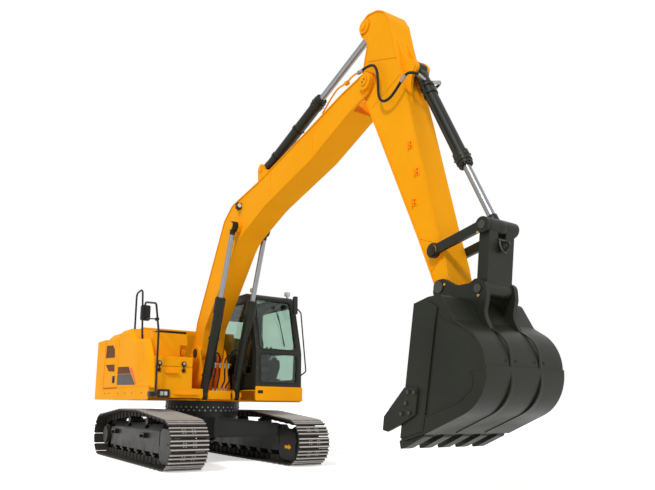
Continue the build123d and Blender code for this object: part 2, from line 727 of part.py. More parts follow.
cab_mounts = [Pos(x, -forward, (deck_high + cab_low) / 2) * Cylinder(45, cab_low - deck_high - 2 * seat_gap)
              for x in (480, 1250) for forward in (-420, 1100)]
nodes["cab_mounts"] = Compound(cab_mounts)

# Boom: flanges round two side plates
half_boom = boom_width / 2
boom_rows = (
    (-140, -60, 110), (60, -140, 110), (430, 235, 200), (1250, 470, 900), (2150, 745, 900), (3100, 560, 900),
    (boom_length - 1318, 136, 0), (boom_length - 470, -30, 200), (boom_length - 60, -150, 110),
    (boom_length + 150, -40, 120), (boom_length + 70, 130, 120), (boom_length - 398, 330, 300),
    (boom_length - 1208, 605, 0), (3150, 1085, 900), (2320, 1440, 260), (1960, 1420, 260), (226, 545, 300), (-120, 250, 160))
boom_face = outline(boom_rows)
boom_inner = offset(boom_face, amount=-flange_thickness)
boom = slab(boom_face - boom_inner, -half_boom, half_boom, boom_foot, boom_angle)
web_face = offset(boom_face, amount=-flange_thickness / 2)
boom += both(web_face, half_boom - 14 - boom_plate, half_boom - 14, boom_foot, boom_angle)
boom_tip = place(boom_foot, boom_angle, boom_length, 0)
fork_inside = arm_width / 2 + fork_gap
slot_start = boom_length - 390
slot = Pos(slot_start + 400, 60) * Rectangle(800, 900)
boom -= slab(slot, -fork_inside, fork_inside, boom_foot, boom_angle)
closing = Pos(slot_start - 8, 130) * Rectangle(16, 900)
boom += slab(closing & web_face, -half_boom + 20, half_boom - 20, boom_foot, boom_angle)
tip_boss = Pos(boom_length, 0) * Circle(110)
boom += both(tip_boss, fork_inside, half_boom + 30, boom_foot, boom_angle)
foot_boss = Circle(115)
boom += slab(foot_boss, -half_boom - 20, half_boom + 20, boom_foot, boom_angle)
boom -= round_bar(*boom_foot, 55 + pin_gap, -600, 600)
boom -= round_bar(*boom_tip, 50 + pin_gap, -600, 600)
eye_half = 48
boom_eye_inner = boom_cylinder_side - eye_half - slide_gap
eye_boss = Pos(*boom_cylinder_eye) * Circle(95)
boom += both(eye_boss, half_boom - 30, boom_eye_inner, boom_foot, boom_angle)
lug_gap = 60 + slide_gap
arm_lug = outline((
    (2980, 1020, 0), (3560, 860, 0), (3420, 1100, 80), (3300, 1260, 60), (3300, 1440, 70), (3160, 1450, 90),
    (3050, 1250, 120)))
boom += both(arm_lug, lug_gap, lug_gap + 45, boom_foot, boom_angle)
arm_base = place(boom_foot, boom_angle, *arm_cylinder_base)
boom -= round_bar(*arm_base, 45 + pin_gap, -300, 300)
nodes["boom"] = boom
nodes["boom_pins"] = Compound([pin_with_caps(boom_tip, 50, half_boom + 32, 58, 12),
                               pin_with_caps(arm_base, 45, lug_gap + 47, 52, 12)])

# Arm: a box with the cylinder's lug plates at its head
half_arm = arm_width / 2
arm_rows = (
    (-531, 200, 120), (-690, 135, 80), (-885, 150, 95), (-880, 350, 100), (-770, 505, 200), (-640, 590, 130),
    (-470, 610, 130), (-130, 552, 0), (154, 515, 0), (1000, 400, 0), (arm_length - 570, 186, 0),
    (arm_length - 210, 145, 0), (arm_length + 70, 85, 80), (arm_length + 90, -85, 85), (arm_length - 100, -92, 0),
    (arm_length - 700, -92, 0), (457, -140, 400), (120, -150, 160),
    (-120, -110, 140), (-300, 20, 150))
arm_face = outline(arm_rows)
arm_inner = offset(arm_face, amount=-flange_thickness)
arm = slab(arm_face - arm_inner, -half_arm, half_arm, boom_tip, arm_angle)
arm_web = offset(arm_face, amount=-flange_thickness / 2)
arm += both(arm_web, half_arm - 10 - boom_plate, half_arm - 10, boom_tip, arm_angle)
pocket = outline(((-1000, 0, 0), (-540, 190, 0), (-607, 395, 0), (-745, 560, 0), (-900, 600, 0)))
arm -= slab(pocket, -half_arm + 24, half_arm - 24, boom_tip, arm_angle)
wall = outline(((-531, 190, 0), (-515, 190, 0), (-590, 405, 0), (-740, 575, 0), (-752, 560, 0), (-607, 395, 0)))
arm += slab(wall & arm_web, -half_arm + 15, half_arm - 15, boom_tip, arm_angle)
eye_gap = 60 + slide_gap
lug_disc = Pos(*arm_cylinder_eye) * Circle(92)
arm += both(lug_disc, eye_gap, half_arm + 12, boom_tip, arm_angle)
arm += slab(Circle(125), -half_arm, half_arm, boom_tip, arm_angle)
arm -= round_bar(*boom_tip, 50 + pin_gap, -300, 300)
bucket_pin = place(boom_tip, arm_angle, arm_length, 0)
rocker_pin = (bucket_pin[0] + rocker_pin_forward, bucket_pin[1] + rocker_pin_rise)
arm += round_bar(*bucket_pin, 85, -half_arm, half_arm)
arm += round_bar(*rocker_pin, 75, -half_arm - 8, half_arm + 8)
arm -= round_bar(*bucket_pin, 45 + pin_gap, -300, 300)
arm -= round_bar(*rocker_pin, 40 + pin_gap, -300, 300)
ear = outline((
    (-330, 570, 0), (900, 400, 0), (560, 490, 150), (455, 560, 60), (455, 640, 60), (400, 690, 60), (300, 665, 60),
    (180, 590, 160), (60, 555, 200)))
arm += both(ear, eye_gap, eye_gap + 40, boom_tip, arm_angle)
cylinder_pin = place(boom_tip, arm_angle, *bucket_cylinder_base)
arm -= round_bar(*cylinder_pin, 40 + pin_gap, -300, 300)
nodes["arm"] = arm
rocker_thickness = 45
rocker_inner = half_arm + 8 + slide_gap
nodes["arm_pins"] = Compound([pin_with_caps(cylinder_pin, 40, eye_gap + 42, 48, 10),
                              pin_with_caps(rocker_pin, 40, rocker_inner + rocker_thickness + 1, 60, 10)])

# Linkage: the pair of rockers, the link and the pins between them
link_top = (rocker_pin[0] + rocker_length * cos(radians(rocker_angle)),
            rocker_pin[1] + rocker_length * sin(radians(rocker_angle)))
bucket_link_pin = (bucket_pin[0] + bucket_pin_spacing * cos(radians(bucket_pin_angle)),
                   bucket_pin[1] + bucket_pin_spacing * sin(radians(bucket_pin_angle)))


def strap(first, last, first_radius, last_radius, width):
    """Flat link outline: an eye at each pin and a straight waist."""
    length = hypot(last[0] - first[0], last[1] - first[1])
    shape = Circle(first_radius) + Pos(length, 0) * Circle(last_radius)
    return shape + Pos(length / 2, 0) * Rectangle(length, width)


rocker_face = strap(rocker_pin, link_top, 78, 78, 96)
rockers = both(rocker_face, rocker_inner, rocker_inner + rocker_thickness, rocker_pin, rocker_angle)
rockers -= round_bar(*rocker_pin, 40 + pin_gap, -400, 400)
rockers -= round_bar(*link_top, 42 + pin_gap, -400, 400)
nodes["rockers"] = rockers
link_angle = degrees(atan2(link_top[1] - bucket_link_pin[1], link_top[0] - bucket_link_pin[0]))
link_length = hypot(link_top[0] - bucket_link_pin[0], link_top[1] - bucket_link_pin[1])
link_half = rocker_inner - slide_gap
rod_eye_half = 55
lifting_eye_radius = 24
lifting_eye_half = 17
eye_along = 421
eye_offset = 115
link = slab(Circle(75), -link_half, link_half, bucket_link_pin, link_angle)
for side in (-1, 1):
    ends = sorted((side * link_half, side * (rod_eye_half + slide_gap)))
    link += slab(strap(bucket_link_pin, link_top, 70, 80, 120), *ends, bucket_link_pin, link_angle)
web_length = link_length - 180
link += slab(Pos(web_length / 2, 0) * Rectangle(web_length, 120), -link_half + 20, link_half - 20,
             bucket_link_pin, link_angle)
eye_disc = Pos(eye_along, -eye_offset) * Circle(48)
eye_disc += Pos(eye_along, -eye_offset / 2 - 20) * Rectangle(96, eye_offset - 40)
link += slab(eye_disc - Pos(eye_along, -eye_offset) * Circle(lifting_eye_radius), -lifting_eye_half,
             lifting_eye_half, bucket_link_pin, link_angle)
link -= round_bar(*link_top, 42 + pin_gap, -400, 400)
link -= round_bar(*bucket_link_pin, 42 + pin_gap, -link_half + 60, link_half - 60)
nodes["link"] = link
pins = []
for side in (-1, 1):
    ends = sorted((side * (rod_eye_half + slide_gap), side * (rocker_inner + rocker_thickness + 6)))
    pins.append(round_bar(*link_top, 42, *ends))
nodes["link_pins"] = Compound(pins)

# Bucket: a bent shell between two cheeks that lean in towards the back. Its points are from the bucket pin
half_bucket = bucket_width / 2
lip_forward = -190
back_reach = 797
shell_rows = (
    (30, -200, 30), (lip_forward, -1484, 0), (lip_forward + 8, -1514, 6), (97, -1430, 0),
    (back_reach, -1133, 420), (back_reach, -597, 400), (500, -412, 50), (352, -152, 70), (190, -160, 60))
shell_face = outline(shell_rows)


def tapered(face, beyond):
    """A bucket form between the planes of the cheeks, or beyond them."""
    halves = [half_bucket + beyond - (forward - lip_forward) * cheek_lean for forward in (-500, 900)]
    plan = Polyline((-halves[0], -500), (halves[0], -500), (halves[1], 900), (-halves[1], 900), close=True)
    plane = Plane(origin=(0, -bucket_pin[0], bucket_pin[1] + 150), x_dir=(1, 0, 0), z_dir=(0, 0, -1))
    return slab(face, -halves[0], halves[0], bucket_pin) & extrude(plane * make_face(plan), 1900)


edge_plate = outline((
    (25, -203, 0), (lip_forward, -1484, 0), (97, -1405, 0), (276, -390, 0), (308, -270, 0), (200, -200, 0)))
heel_plate = outline((
    (640, -880, 0), (668, -955, 60), (640, -1040, 100), (500, -1145, 150), (110, -1280, 0), (97, -1420, 0),
    (840, -1300, 0), (840, -880, 0))) & shell_face
bead = shell_face - offset(shell_face, amount=-24)
bead &= outline(((330, -150, 0), (900, -150, 0), (900, -880, 0), (600, -880, 0), (400, -500, 0)))
wrap = offset(shell_face, amount=wrap_thickness) - shell_face
wrap &= outline(((110, -1700, 0), (110, -1412, 0), (700, -1000, 0), (700, -830, 0), (900, -830, 0), (900, -1700, 0)))
ear_inner = link_half + slide_gap
ear_rows = (
    (-85, -60, 60), (-60, 70, 60), (60, 80, 60), (230, -20, 200), (400, -20, 100), (470, 20, 70), (585, -30, 80),
    (590, -170, 80), (548, -330, 150), (640, -540, 0), (560, -500, 0), (340, -230, 0), (60, -230, 0))
bucket = tapered(shell_face, 0) + tapered(edge_plate, 12)
for face, beyond in ((heel_plate, 10), (bead, 10), (wrap, 10)):
    bucket += tapered(face, beyond)
bucket += both(outline(ear_rows), ear_inner, ear_inner + 50, bucket_pin)
mouth = outline(((60, -222, 0), (-300, -222, 0), (-300, -1528, 0), (-100, -1468, 0)))
bucket -= tapered(offset(shell_face, amount=-bucket_wall), -bucket_wall)
bucket -= tapered(mouth, -bucket_wall)
bucket -= round_bar(*bucket_pin, 45 + pin_gap, -400, 400)
bucket -= round_bar(*bucket_link_pin, 42 + pin_gap, -400, 400)
nodes["bucket"] = bucket
bucket_pins = [pin_with_caps(bucket_pin, 45, ear_inner + 52, 62, 10)]
for side in (-1, 1):
    ends = sorted((side * (ear_inner + slide_gap), side * (ear_inner + 62)))
    bucket_pins.append(round_bar(*bucket_link_pin, 42, *ends))
nodes["bucket_pins"] = Compound(bucket_pins)
# each tooth clasps the lip plate from both sides
tooth_count = 5
tooth_width = 112
tooth_face = outline((
    (-20, -1422, 0), (-186, -1470, 0), (-262, -1518, 5), (-247, -1590, 5), (-190, -1580, 0), (70, -1464, 0),
    (90, -1430, 0)))
teeth = []
for number in range(tooth_count):
    middle = (number - (tooth_count - 1) / 2) * (bucket_width - 200) / (tooth_count - 1)
    tooth = slab(tooth_face, middle - tooth_width / 2, middle + tooth_width / 2, bucket_pin) - bucket
    teeth.append(tooth.solids().sort_by(SortBy.VOLUME)[-1])
nodes["teeth"] = Compound(teeth)
cutter = outline(((-95, -1006, 0), (70, -1010, 30), (31, -1257, 20), (-178, -1368, 0), (-328, -1431, 8),
                  (-393, -1417, 8), (-375, -1285, 8)))
cutters = tapered(cutter, 37) - tapered(outline(((-600, -900, 0), (200, -900, 0), (200, -1500, 0), (-600, -1500, 0))), 12)
nodes["side_cutters"] = Compound(cutters.solids())


def cylinder_pair(base, eye, middle, base_half, eye_half_width, barrel_radius, rod_radius, gland_at,
                  pin_radius, eye_radius, rod_length):
    """Barrel with its base eye, and rod with its own eye and the stretch of pin inside it."""
    run = hypot(eye[0] - base[0], eye[1] - base[1])
    angle = degrees(atan2(eye[1] - base[1], eye[0] - base[0]))
    plane = Plane(origin=(middle, -base[0], base[1]), x_dir=(1, 0, 0),
                  z_dir=(0, -cos(radians(angle)), sin(radians(angle))))
    start = eye_radius + 45
    barrel = plane * Pos(0, 0, start) * Cylinder(barrel_radius, gland_at - start, align=from_low)
    barrel += plane * Pos(0, 0, gland_at - 170) * Cylinder(barrel_radius + 14, 130, align=from_low)
    barrel += plane * Pos(0, 0, gland_at - 40) * Cylinder(barrel_radius + 6, 40, align=from_low)
    barrel += plane * Pos(0, 0, start / 2) * Box(2 * base_half - 6, eye_radius * 1.5, start + 10)
    barrel += round_bar(*base, eye_radius, middle - base_half, middle + base_half)
    barrel -= round_bar(*base, pin_radius + pin_gap, middle - 200, middle + 200)
    barrel -= plane * Pos(0, 0, start + bore_end) * Cylinder(
        barrel_radius - barrel_wall, gland_at - start - bore_end - gland_depth, align=from_low)
    barrel -= plane * Pos(0, 0, start + bore_end) * Cylinder(rod_radius + pin_gap, gland_at, align=from_low)
    rod = plane * Pos(0, 0, run - rod_length) * Cylinder(rod_radius, rod_length - eye_radius + 12, align=from_low)
    rod += plane * Pos(0, 0, run - rod_length) * Cylinder(barrel_radius - barrel_wall - 1, piston_depth, align=from_low)
    collar = min(rod_radius + 12, eye_half_width - 2)
    rod += plane * Pos(0, 0, run - eye_radius - 60) * Cylinder(collar, 80, align=from_low)
    rod += round_bar(*eye, eye_radius, middle - eye_half_width, middle + eye_half_width)
    return barrel, rod


boom_eye = place(boom_foot, boom_angle, *boom_cylinder_eye)
barrels = []
rods = []
for side in (-1, 1):
    barrel, rod = cylinder_pair(boom_cylinder_base, boom_eye, side * boom_cylinder_side, 48, eye_half,
                                74, 43, 1705, 45, 82, 1711)
    barrels.append(barrel)
    rods.append(rod)
nodes["boom_cylinder_barrels"] = Compound(barrels)
nodes["boom_cylinder_rods"] = Compound(rods)
arm_eye = place(boom_tip, arm_angle, *arm_cylinder_eye)
nodes["arm_cylinder_barrel"], nodes["arm_cylinder_rod"] = cylinder_pair(
    arm_base, arm_eye, 0, 60, 60, 80, 48, 1670, 45, 88, 1865)
nodes["bucket_cylinder_barrel"], nodes["bucket_cylinder_rod"] = cylinder_pair(
    cylinder_pin, link_top, 0, 60, rod_eye_half, 70, 40, 1520, 40, 80, 1643)

# Handrails, mirrors and lamps
def tube(points, radius, bend):
    """Bent round bar through points (x, forward, up)."""
    path = FilletPolyline(*[(x, -forward, up) for x, forward, up in points], radius=bend)
    return sweep(Plane(origin=path @ 0, z_dir=path % 0) * Circle(radius), path=path)


rail_radius = 17
rail_x = -1240
post_forward = 962
right_rail = tube(((rail_x, -329, hood_top + seat_gap), (rail_x, -332, hood_top + 643), (rail_x, -12, hood_top + 682),
                   (rail_x, 103, tank_top - 1)), rail_radius, 90)
post = tube(((-1262, post_forward, deck_high - 110), (-1262, post_forward, tank_top + 50),
             (-1326, post_forward, tank_top + 510), (-1360, 540, tank_top + 580), (-1360, 505, tank_top + 510)),
            rail_radius, 60)
post += block(-1365, -1245, deck_front + 0.2, post_forward + 15, 1085, 1165)
post += bar((-1300, post_forward, tank_top + 250), (-1350, 505, tank_top + 310), 11)
left_rail = tube(((1343, 1170, cab_low + 235), (1460, 1200, cab_low + 325), (1343, 1200, cab_high - 310),
                  (1270, 1200, cab_high - 250)), 12, 60)
left_rail += block(cab_left + seat_gap, cab_left + 22, 1150, 1185, cab_low + 215, cab_low + 250)
nodes["handrails"] = Compound([right_rail, post, left_rail])
mirror_right = block(-1425, -1265, 478, 530, tank_top + 270, tank_top + 532)
mirror_right = fillet(mirror_right.edges().filter_by(Axis.Y), 30)
mirror_left = block(1180, 1262, 1170, 1215, cab_high - 350, cab_high - 20)
mirror_left = fillet(mirror_left.edges().filter_by(Axis.Y), 25)
nodes["mirrors"] = Compound([mirror_right - post, mirror_left - left_rail])
lamp_places = ((525, 880), (1255, 880))
nodes["roof_lamps"] = Compound([block(x - 52, x + 52, forward - 50, forward + 20, cab_high + 0.2, cab_high + 110)
                                for x, forward in lamp_places])

for name, shape in nodes.items():
    export_step(shape if isinstance(shape, Compound) else Compound([shape]), os.path.join("parts", name + ".step"))
print(len(nodes), "nodes")
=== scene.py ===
import bpy
import bmesh
import json
import math
from mathutils import Matrix, Vector


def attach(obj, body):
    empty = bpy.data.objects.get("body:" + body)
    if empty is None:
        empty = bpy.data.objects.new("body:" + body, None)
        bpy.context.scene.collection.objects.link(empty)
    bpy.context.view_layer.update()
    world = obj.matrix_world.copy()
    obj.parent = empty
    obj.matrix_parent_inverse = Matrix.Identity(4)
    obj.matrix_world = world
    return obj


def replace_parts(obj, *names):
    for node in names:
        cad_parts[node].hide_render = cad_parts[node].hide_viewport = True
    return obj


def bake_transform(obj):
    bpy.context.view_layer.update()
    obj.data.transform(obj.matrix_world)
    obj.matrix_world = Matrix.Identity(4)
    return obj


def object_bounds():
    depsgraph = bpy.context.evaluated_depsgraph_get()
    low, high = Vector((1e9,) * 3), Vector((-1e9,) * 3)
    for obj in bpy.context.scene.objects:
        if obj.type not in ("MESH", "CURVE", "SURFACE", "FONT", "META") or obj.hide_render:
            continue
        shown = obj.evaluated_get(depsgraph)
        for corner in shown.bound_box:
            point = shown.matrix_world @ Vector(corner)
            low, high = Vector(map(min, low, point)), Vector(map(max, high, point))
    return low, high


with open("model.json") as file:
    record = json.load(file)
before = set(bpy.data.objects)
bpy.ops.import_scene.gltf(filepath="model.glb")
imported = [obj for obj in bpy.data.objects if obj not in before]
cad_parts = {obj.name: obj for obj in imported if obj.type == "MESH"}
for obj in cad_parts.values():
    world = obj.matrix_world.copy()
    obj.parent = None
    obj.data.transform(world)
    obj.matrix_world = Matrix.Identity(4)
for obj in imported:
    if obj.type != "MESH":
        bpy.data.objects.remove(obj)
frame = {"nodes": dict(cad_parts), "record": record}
cadLow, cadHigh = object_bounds()
nodes = frame["nodes"]
print("frame loaded:", len(nodes), "nodes")


# camera
camera = {
    "place": (-4.7501, -10.4844, 0.9926),
    "yaw": 31.2445, "pitch": 10.54, "roll": 0.8549,
    "focal": 614.644, "centre": (279.659, 290.031), "picture": (655, 490),
}


def makeCamera(spec):
    yaw, pitch, roll = (math.radians(spec[key]) for key in ("yaw", "pitch", "roll"))
    ahead = Vector((math.sin(yaw) * math.cos(pitch), math.cos(yaw) * math.cos(pitch), math.sin(pitch)))
    level = Vector((math.cos(yaw), -math.sin(yaw), 0))
    above = level.cross(ahead)
    right = level * math.cos(roll) + above * math.sin(roll)
    up = above * math.cos(roll) - level * math.sin(roll)
    data = bpy.data.cameras.new("photoCamera")
    data.sensor_width = 36
    wide, high = spec["picture"]
    data.lens = spec["focal"] * data.sensor_width / wide
    data.shift_x = (wide / 2 - spec["centre"][0]) / wide
    data.shift_y = (spec["centre"][1] - high / 2) / wide
    data.clip_end = 500
    thing = bpy.data.objects.new("photoCamera", data)
    turn = Matrix((right, up, -ahead)).transposed().to_4x4()
    thing.matrix_world = Matrix.Translation(spec["place"]) @ turn
    bpy.context.scene.collection.objects.link(thing)
    bpy.context.scene.camera = thing


makeCamera(camera)
print("camera placed")


# light, floor and backdrop
studio = {"floorSize": 160, "ambient": 0.5, "floorColour": "#F4F4F2", "floorGlow": 0.55,
          # columns: name, where it comes from, power, apparent angle
          "suns": (("keySun", (-0.62, -0.38, 0.72), 1.65, 10), ("fillSun", (0.45, -0.85, 0.3), 0.35, 40))}


def toLinear(code):
    parts = [int(code[i:i + 2], 16) / 255 for i in (1, 3, 5)]
    return [p / 12.92 if p <= 0.04045 else ((p + 0.055) / 1.055) ** 2.4 for p in parts] + [1.0]


def addNode(tree, kind, values=None, links=None, **settings):
    node = tree.nodes.new(kind)
    for name, value in settings.items():
        setattr(node, name, value)
    for socket, value in (values or {}).items():
        node.inputs[socket].default_value = value
    for socket, source in (links or {}).items():
        tree.links.new(source, node.inputs[socket])
    return node


def newStuff(name):
    stuff = bpy.data.materials.new(name)
    stuff.use_nodes = True
    stuff.node_tree.nodes.clear()
    return stuff, stuff.node_tree


# one where a ray comes from the camera or a mirror image, so that only those see the bright floor and backdrop
def addSeen(tree):
    path = addNode(tree, "ShaderNodeLightPath")
    return path, addNode(tree, "ShaderNodeMath", operation="MAXIMUM",
                         links={0: path.outputs["Is Camera Ray"], 1: path.outputs["Is Glossy Ray"]})


def makeStudio(spec):
    scene = bpy.context.scene
    scene.view_settings.view_transform = "Standard"
    world = bpy.data.worlds.new("paleStudio")
    scene.world = world
    world.use_nodes = True
    tree = world.node_tree
    tree.nodes.clear()
    path, seen = addSeen(tree)
    seenAll = addNode(tree, "ShaderNodeMath", operation="MAXIMUM",
                      links={0: seen.outputs[0], 1: path.outputs["Is Transmission Ray"]})
    strength = addNode(tree, "ShaderNodeMapRange", values={"To Min": spec["ambient"], "To Max": 1.0},
                       links={"Value": seenAll.outputs[0]})
    sky = addNode(tree, "ShaderNodeBackground", values={"Color": (1, 1, 1, 1)},
                  links={"Strength": strength.outputs[0]})
    addNode(tree, "ShaderNodeOutputWorld", links={"Surface": sky.outputs[0]})
    for name, source, power, angle in spec["suns"]:
        lamp = bpy.data.lights.new(name, "SUN")
        lamp.energy = power
        lamp.angle = math.radians(angle)
        thing = bpy.data.objects.new(name, lamp)
        thing.rotation_euler = Vector(source).to_track_quat("Z", "Y").to_euler()
        scene.collection.objects.link(thing)
    size = spec["floorSize"]
    mesh = bpy.data.meshes.new("studioFloor")
    mesh.from_pydata([(-size, -size, 0), (size, -size, 0), (size, size, 0), (-size, size, 0)], [], [(0, 1, 2, 3)])
    floor = bpy.data.objects.new("studioFloor", mesh)
    scene.collection.objects.link(floor)
    stuff, tree = newStuff("paleFloor")
    seen = addSeen(tree)[1]
    matte = addNode(tree, "ShaderNodeBsdfDiffuse", values={"Color": toLinear(spec["floorColour"])})
    glow = addNode(tree, "ShaderNodeEmission", values={"Color": (1, 1, 1, 1), "Strength": spec["floorGlow"]})
    lit = addNode(tree, "ShaderNodeAddShader", links={0: matte.outputs[0], 1: glow.outputs[0]})
    pick = addNode(tree, "ShaderNodeMixShader", links={0: seen.outputs[0], 1: matte.outputs[0], 2: lit.outputs[0]})
    addNode(tree, "ShaderNodeOutputMaterial", links={"Surface": pick.outputs[0]})
    mesh.materials.append(stuff)


makeStudio(studio)
print("studio made")


# materials
finishes = {
    # alkyd enamel sprayed on steel plate: smooth and softly glossy, with a faint orange peel
    "yellowEnamel": {"colour": "#FFAB12", "patch": "#FCA50C", "rough": 0.56, "roughSpread": 0.06, "shine": 0.05,
                     "peel": 0.004, "peelDepth": 0.0002, "edge": 0.006},
    # two-pack enamel in a greenish charcoal: satin, with dull and rubbed patches
    "charcoalEnamel": {"colour": "#1F211A", "patch": "#282A21", "rough": 0.4, "roughSpread": 0.1, "shine": 0.2,
                       "peel": 0.006, "peelDepth": 0.0003, "edge": 0.004},
    # chassis black: satin, with pale dust that thins out upwards from the ground
    "blackEnamel": {"colour": "#191A1A", "patch": "#222322", "rough": 0.42, "roughSpread": 0.1, "shine": 0.25,
                    "dust": "#6E675B", "dustTop": 0.9, "dustShare": 0.1, "peel": 0.006, "peelDepth": 0.0003,
                    "edge": 0.003},
}


def makeEnamel(name, spec):
    stuff, tree = newStuff(name)
    place = addNode(tree, "ShaderNodeTexCoord").outputs["Object"]
    broad = addNode(tree, "ShaderNodeTexNoise", values={"Scale": 1.6, "Detail": 4.0, "Roughness": 0.6},
                    links={"Vector": place})
    broadShare = addNode(tree, "ShaderNodeMapRange", values={"From Min": 0.35, "From Max": 0.68},
                         links={"Value": broad.outputs["Fac"]})
    base = addNode(tree, "ShaderNodeMix", data_type="RGBA",
                   values={6: toLinear(spec["colour"]), 7: toLinear(spec["patch"])},
                   links={0: broadShare.outputs[0]})
    colour = base.outputs[2]
    if "dust" in spec:
        height = addNode(tree, "ShaderNodeSeparateXYZ", links={0: place})
        low = addNode(tree, "ShaderNodeMapRange",
                      values={"From Min": spec["dustTop"], "From Max": 0.0, "To Max": spec["dustShare"]},
                      links={"Value": height.outputs[2]})
        speckle = addNode(tree, "ShaderNodeTexNoise", values={"Scale": 14, "Detail": 6.0, "Roughness": 0.7},
                          links={"Vector": place})
        share = addNode(tree, "ShaderNodeMath", operation="MULTIPLY", use_clamp=True,
                        links={0: low.outputs[0], 1: speckle.outputs["Fac"]})
        dusted = addNode(tree, "ShaderNodeMix", data_type="RGBA", values={7: toLinear(spec["dust"])},
                         links={0: share.outputs[0], 6: colour})
        colour = dusted.outputs[2]
    gloss = addNode(tree, "ShaderNodeMapRange",
                    values={"From Min": 0.3, "From Max": 0.7, "To Min": spec["rough"] - spec["roughSpread"],
                            "To Max": spec["rough"] + spec["roughSpread"]}, links={"Value": broad.outputs["Fac"]})
    peel = addNode(tree, "ShaderNodeTexNoise", values={"Scale": 1 / spec["peel"], "Detail": 2.0},
                   links={"Vector": place})
    edge = addNode(tree, "ShaderNodeBevel", samples=4, values={"Radius": spec["edge"]})
    bump = addNode(tree, "ShaderNodeBump", values={"Strength": 0.5, "Distance": spec["peelDepth"]},
                   links={"Height": peel.outputs["Fac"], "Normal": edge.outputs[0]})
    skin = addNode(tree, "ShaderNodeBsdfPrincipled", values={"Specular IOR Level": spec["shine"]},
                   links={"Base Color": colour, "Roughness": gloss.outputs[0], "Normal": bump.outputs[0]})
    addNode(tree, "ShaderNodeOutputMaterial", links={"Surface": skin.outputs[0]})
    return stuff


def makePlain(name, colour, patch, rough, metallic, grain, grainDepth, transmission=0.0, ior=1.5):
    stuff, tree = newStuff(name)
    place = addNode(tree, "ShaderNodeTexCoord").outputs["Object"]
    noise = addNode(tree, "ShaderNodeTexNoise", values={"Scale": 9.0, "Detail": 4.0}, links={"Vector": place})
    gloss = addNode(tree, "ShaderNodeMapRange", values={"To Min": max(rough - 0.06, 0.02), "To Max": rough + 0.06},
                    links={"Value": noise.outputs["Fac"]})
    skin = addNode(tree, "ShaderNodeBsdfPrincipled",
                   values={"Base Color": toLinear(colour), "Metallic": metallic, "Transmission Weight": transmission,
                           "IOR": ior, "Specular IOR Level": 0.5 if metallic or transmission else 0.2},
                   links={"Roughness": gloss.outputs[0]})
    if patch != colour:
        base = addNode(tree, "ShaderNodeMix", data_type="RGBA", values={6: toLinear(colour), 7: toLinear(patch)},
                       links={0: noise.outputs["Fac"]})
        tree.links.new(base.outputs[2], skin.inputs["Base Color"])
    if grain:
        rub = addNode(tree, "ShaderNodeTexNoise", values={"Scale": 1 / grain, "Detail": 3.0},
                      links={"Vector": place})
        bump = addNode(tree, "ShaderNodeBump", values={"Strength": 0.6, "Distance": grainDepth},
                       links={"Height": rub.outputs["Fac"]})
        tree.links.new(bump.outputs[0], skin.inputs["Normal"])
    addNode(tree, "ShaderNodeOutputMaterial", links={"Surface": skin.outputs[0]})
    return stuff


# quenched shoe steel: dull and dusty in the hollows; pale on the grousers' tops and upper flanks, partly real
# rubbing and partly a painted highlight where the sun catches them, from the shoe's wear-and-highlight attribute
shoeSteel = {"hollow": "#171615", "rubbedAndHighlight": "#BDB9B1", "dust": "#39342E", "grit": 0.012, "gritDepth": 0.0008,
             "dull": 0.7, "bright": 0.42}


def makeShoeSteel(spec):
    stuff, tree = newStuff("shoeSteel")
    place = addNode(tree, "ShaderNodeTexCoord").outputs["Object"]
    wearAndHighlight = addNode(tree, "ShaderNodeAttribute", attribute_name="wearAndHighlight")
    grit = addNode(tree, "ShaderNodeTexNoise", values={"Scale": 1 / spec["grit"], "Detail": 4.0},
                   links={"Vector": place})
    broad = addNode(tree, "ShaderNodeTexNoise", values={"Scale": 5.0, "Detail": 5.0}, links={"Vector": place})
    dusted = addNode(tree, "ShaderNodeMix", data_type="RGBA", links={0: broad.outputs["Fac"]},
                     values={6: toLinear(spec["hollow"]), 7: toLinear(spec["dust"])})
    share = addNode(tree, "ShaderNodeMath", operation="MULTIPLY_ADD", values={1: 0.8, 2: -0.2},
                    links={0: grit.outputs["Fac"]})
    wornAndHighlight = addNode(tree, "ShaderNodeMath", operation="ADD", use_clamp=True,
                   links={0: wearAndHighlight.outputs["Fac"], 1: share.outputs[0]})
    # the pale share: real rubbing on the grousers mixed with a painted highlight on their tops and flanks
    rubbedAndHighlight = addNode(tree, "ShaderNodeMath", operation="MULTIPLY", use_clamp=True,
                     links={0: wornAndHighlight.outputs[0], 1: wearAndHighlight.outputs["Fac"]})
    base = addNode(tree, "ShaderNodeMix", data_type="RGBA", values={7: toLinear(spec["rubbedAndHighlight"])},
                   links={0: rubbedAndHighlight.outputs[0], 6: dusted.outputs[2]})
    gloss = addNode(tree, "ShaderNodeMapRange", values={"To Min": spec["dull"], "To Max": spec["bright"]},
                    links={"Value": rubbedAndHighlight.outputs[0]})
    metal = addNode(tree, "ShaderNodeMath", operation="MULTIPLY", values={1: 0.2}, links={0: rubbedAndHighlight.outputs[0]})
    bump = addNode(tree, "ShaderNodeBump", values={"Strength": 0.6, "Distance": spec["gritDepth"]},
                   links={"Height": grit.outputs["Fac"]})
    skin = addNode(tree, "ShaderNodeBsdfPrincipled", values={"Specular IOR Level": 0.3},
                   links={"Base Color": base.outputs[2], "Roughness": gloss.outputs[0], "Metallic": metal.outputs[0],
                          "Normal": bump.outputs[0]})
    addNode(tree, "ShaderNodeOutputMaterial", links={"Surface": skin.outputs[0]})
    return stuff


# woven wire behind the vents: brown dust on black wire, the holes drawn 12 mm apart so that they show, and painted
# near black as the shade behind the mesh
wireMesh = {"wire": "#7A4A22", "hole": "#1D130C", "pitch": 0.012, "wireShare": 0.42}


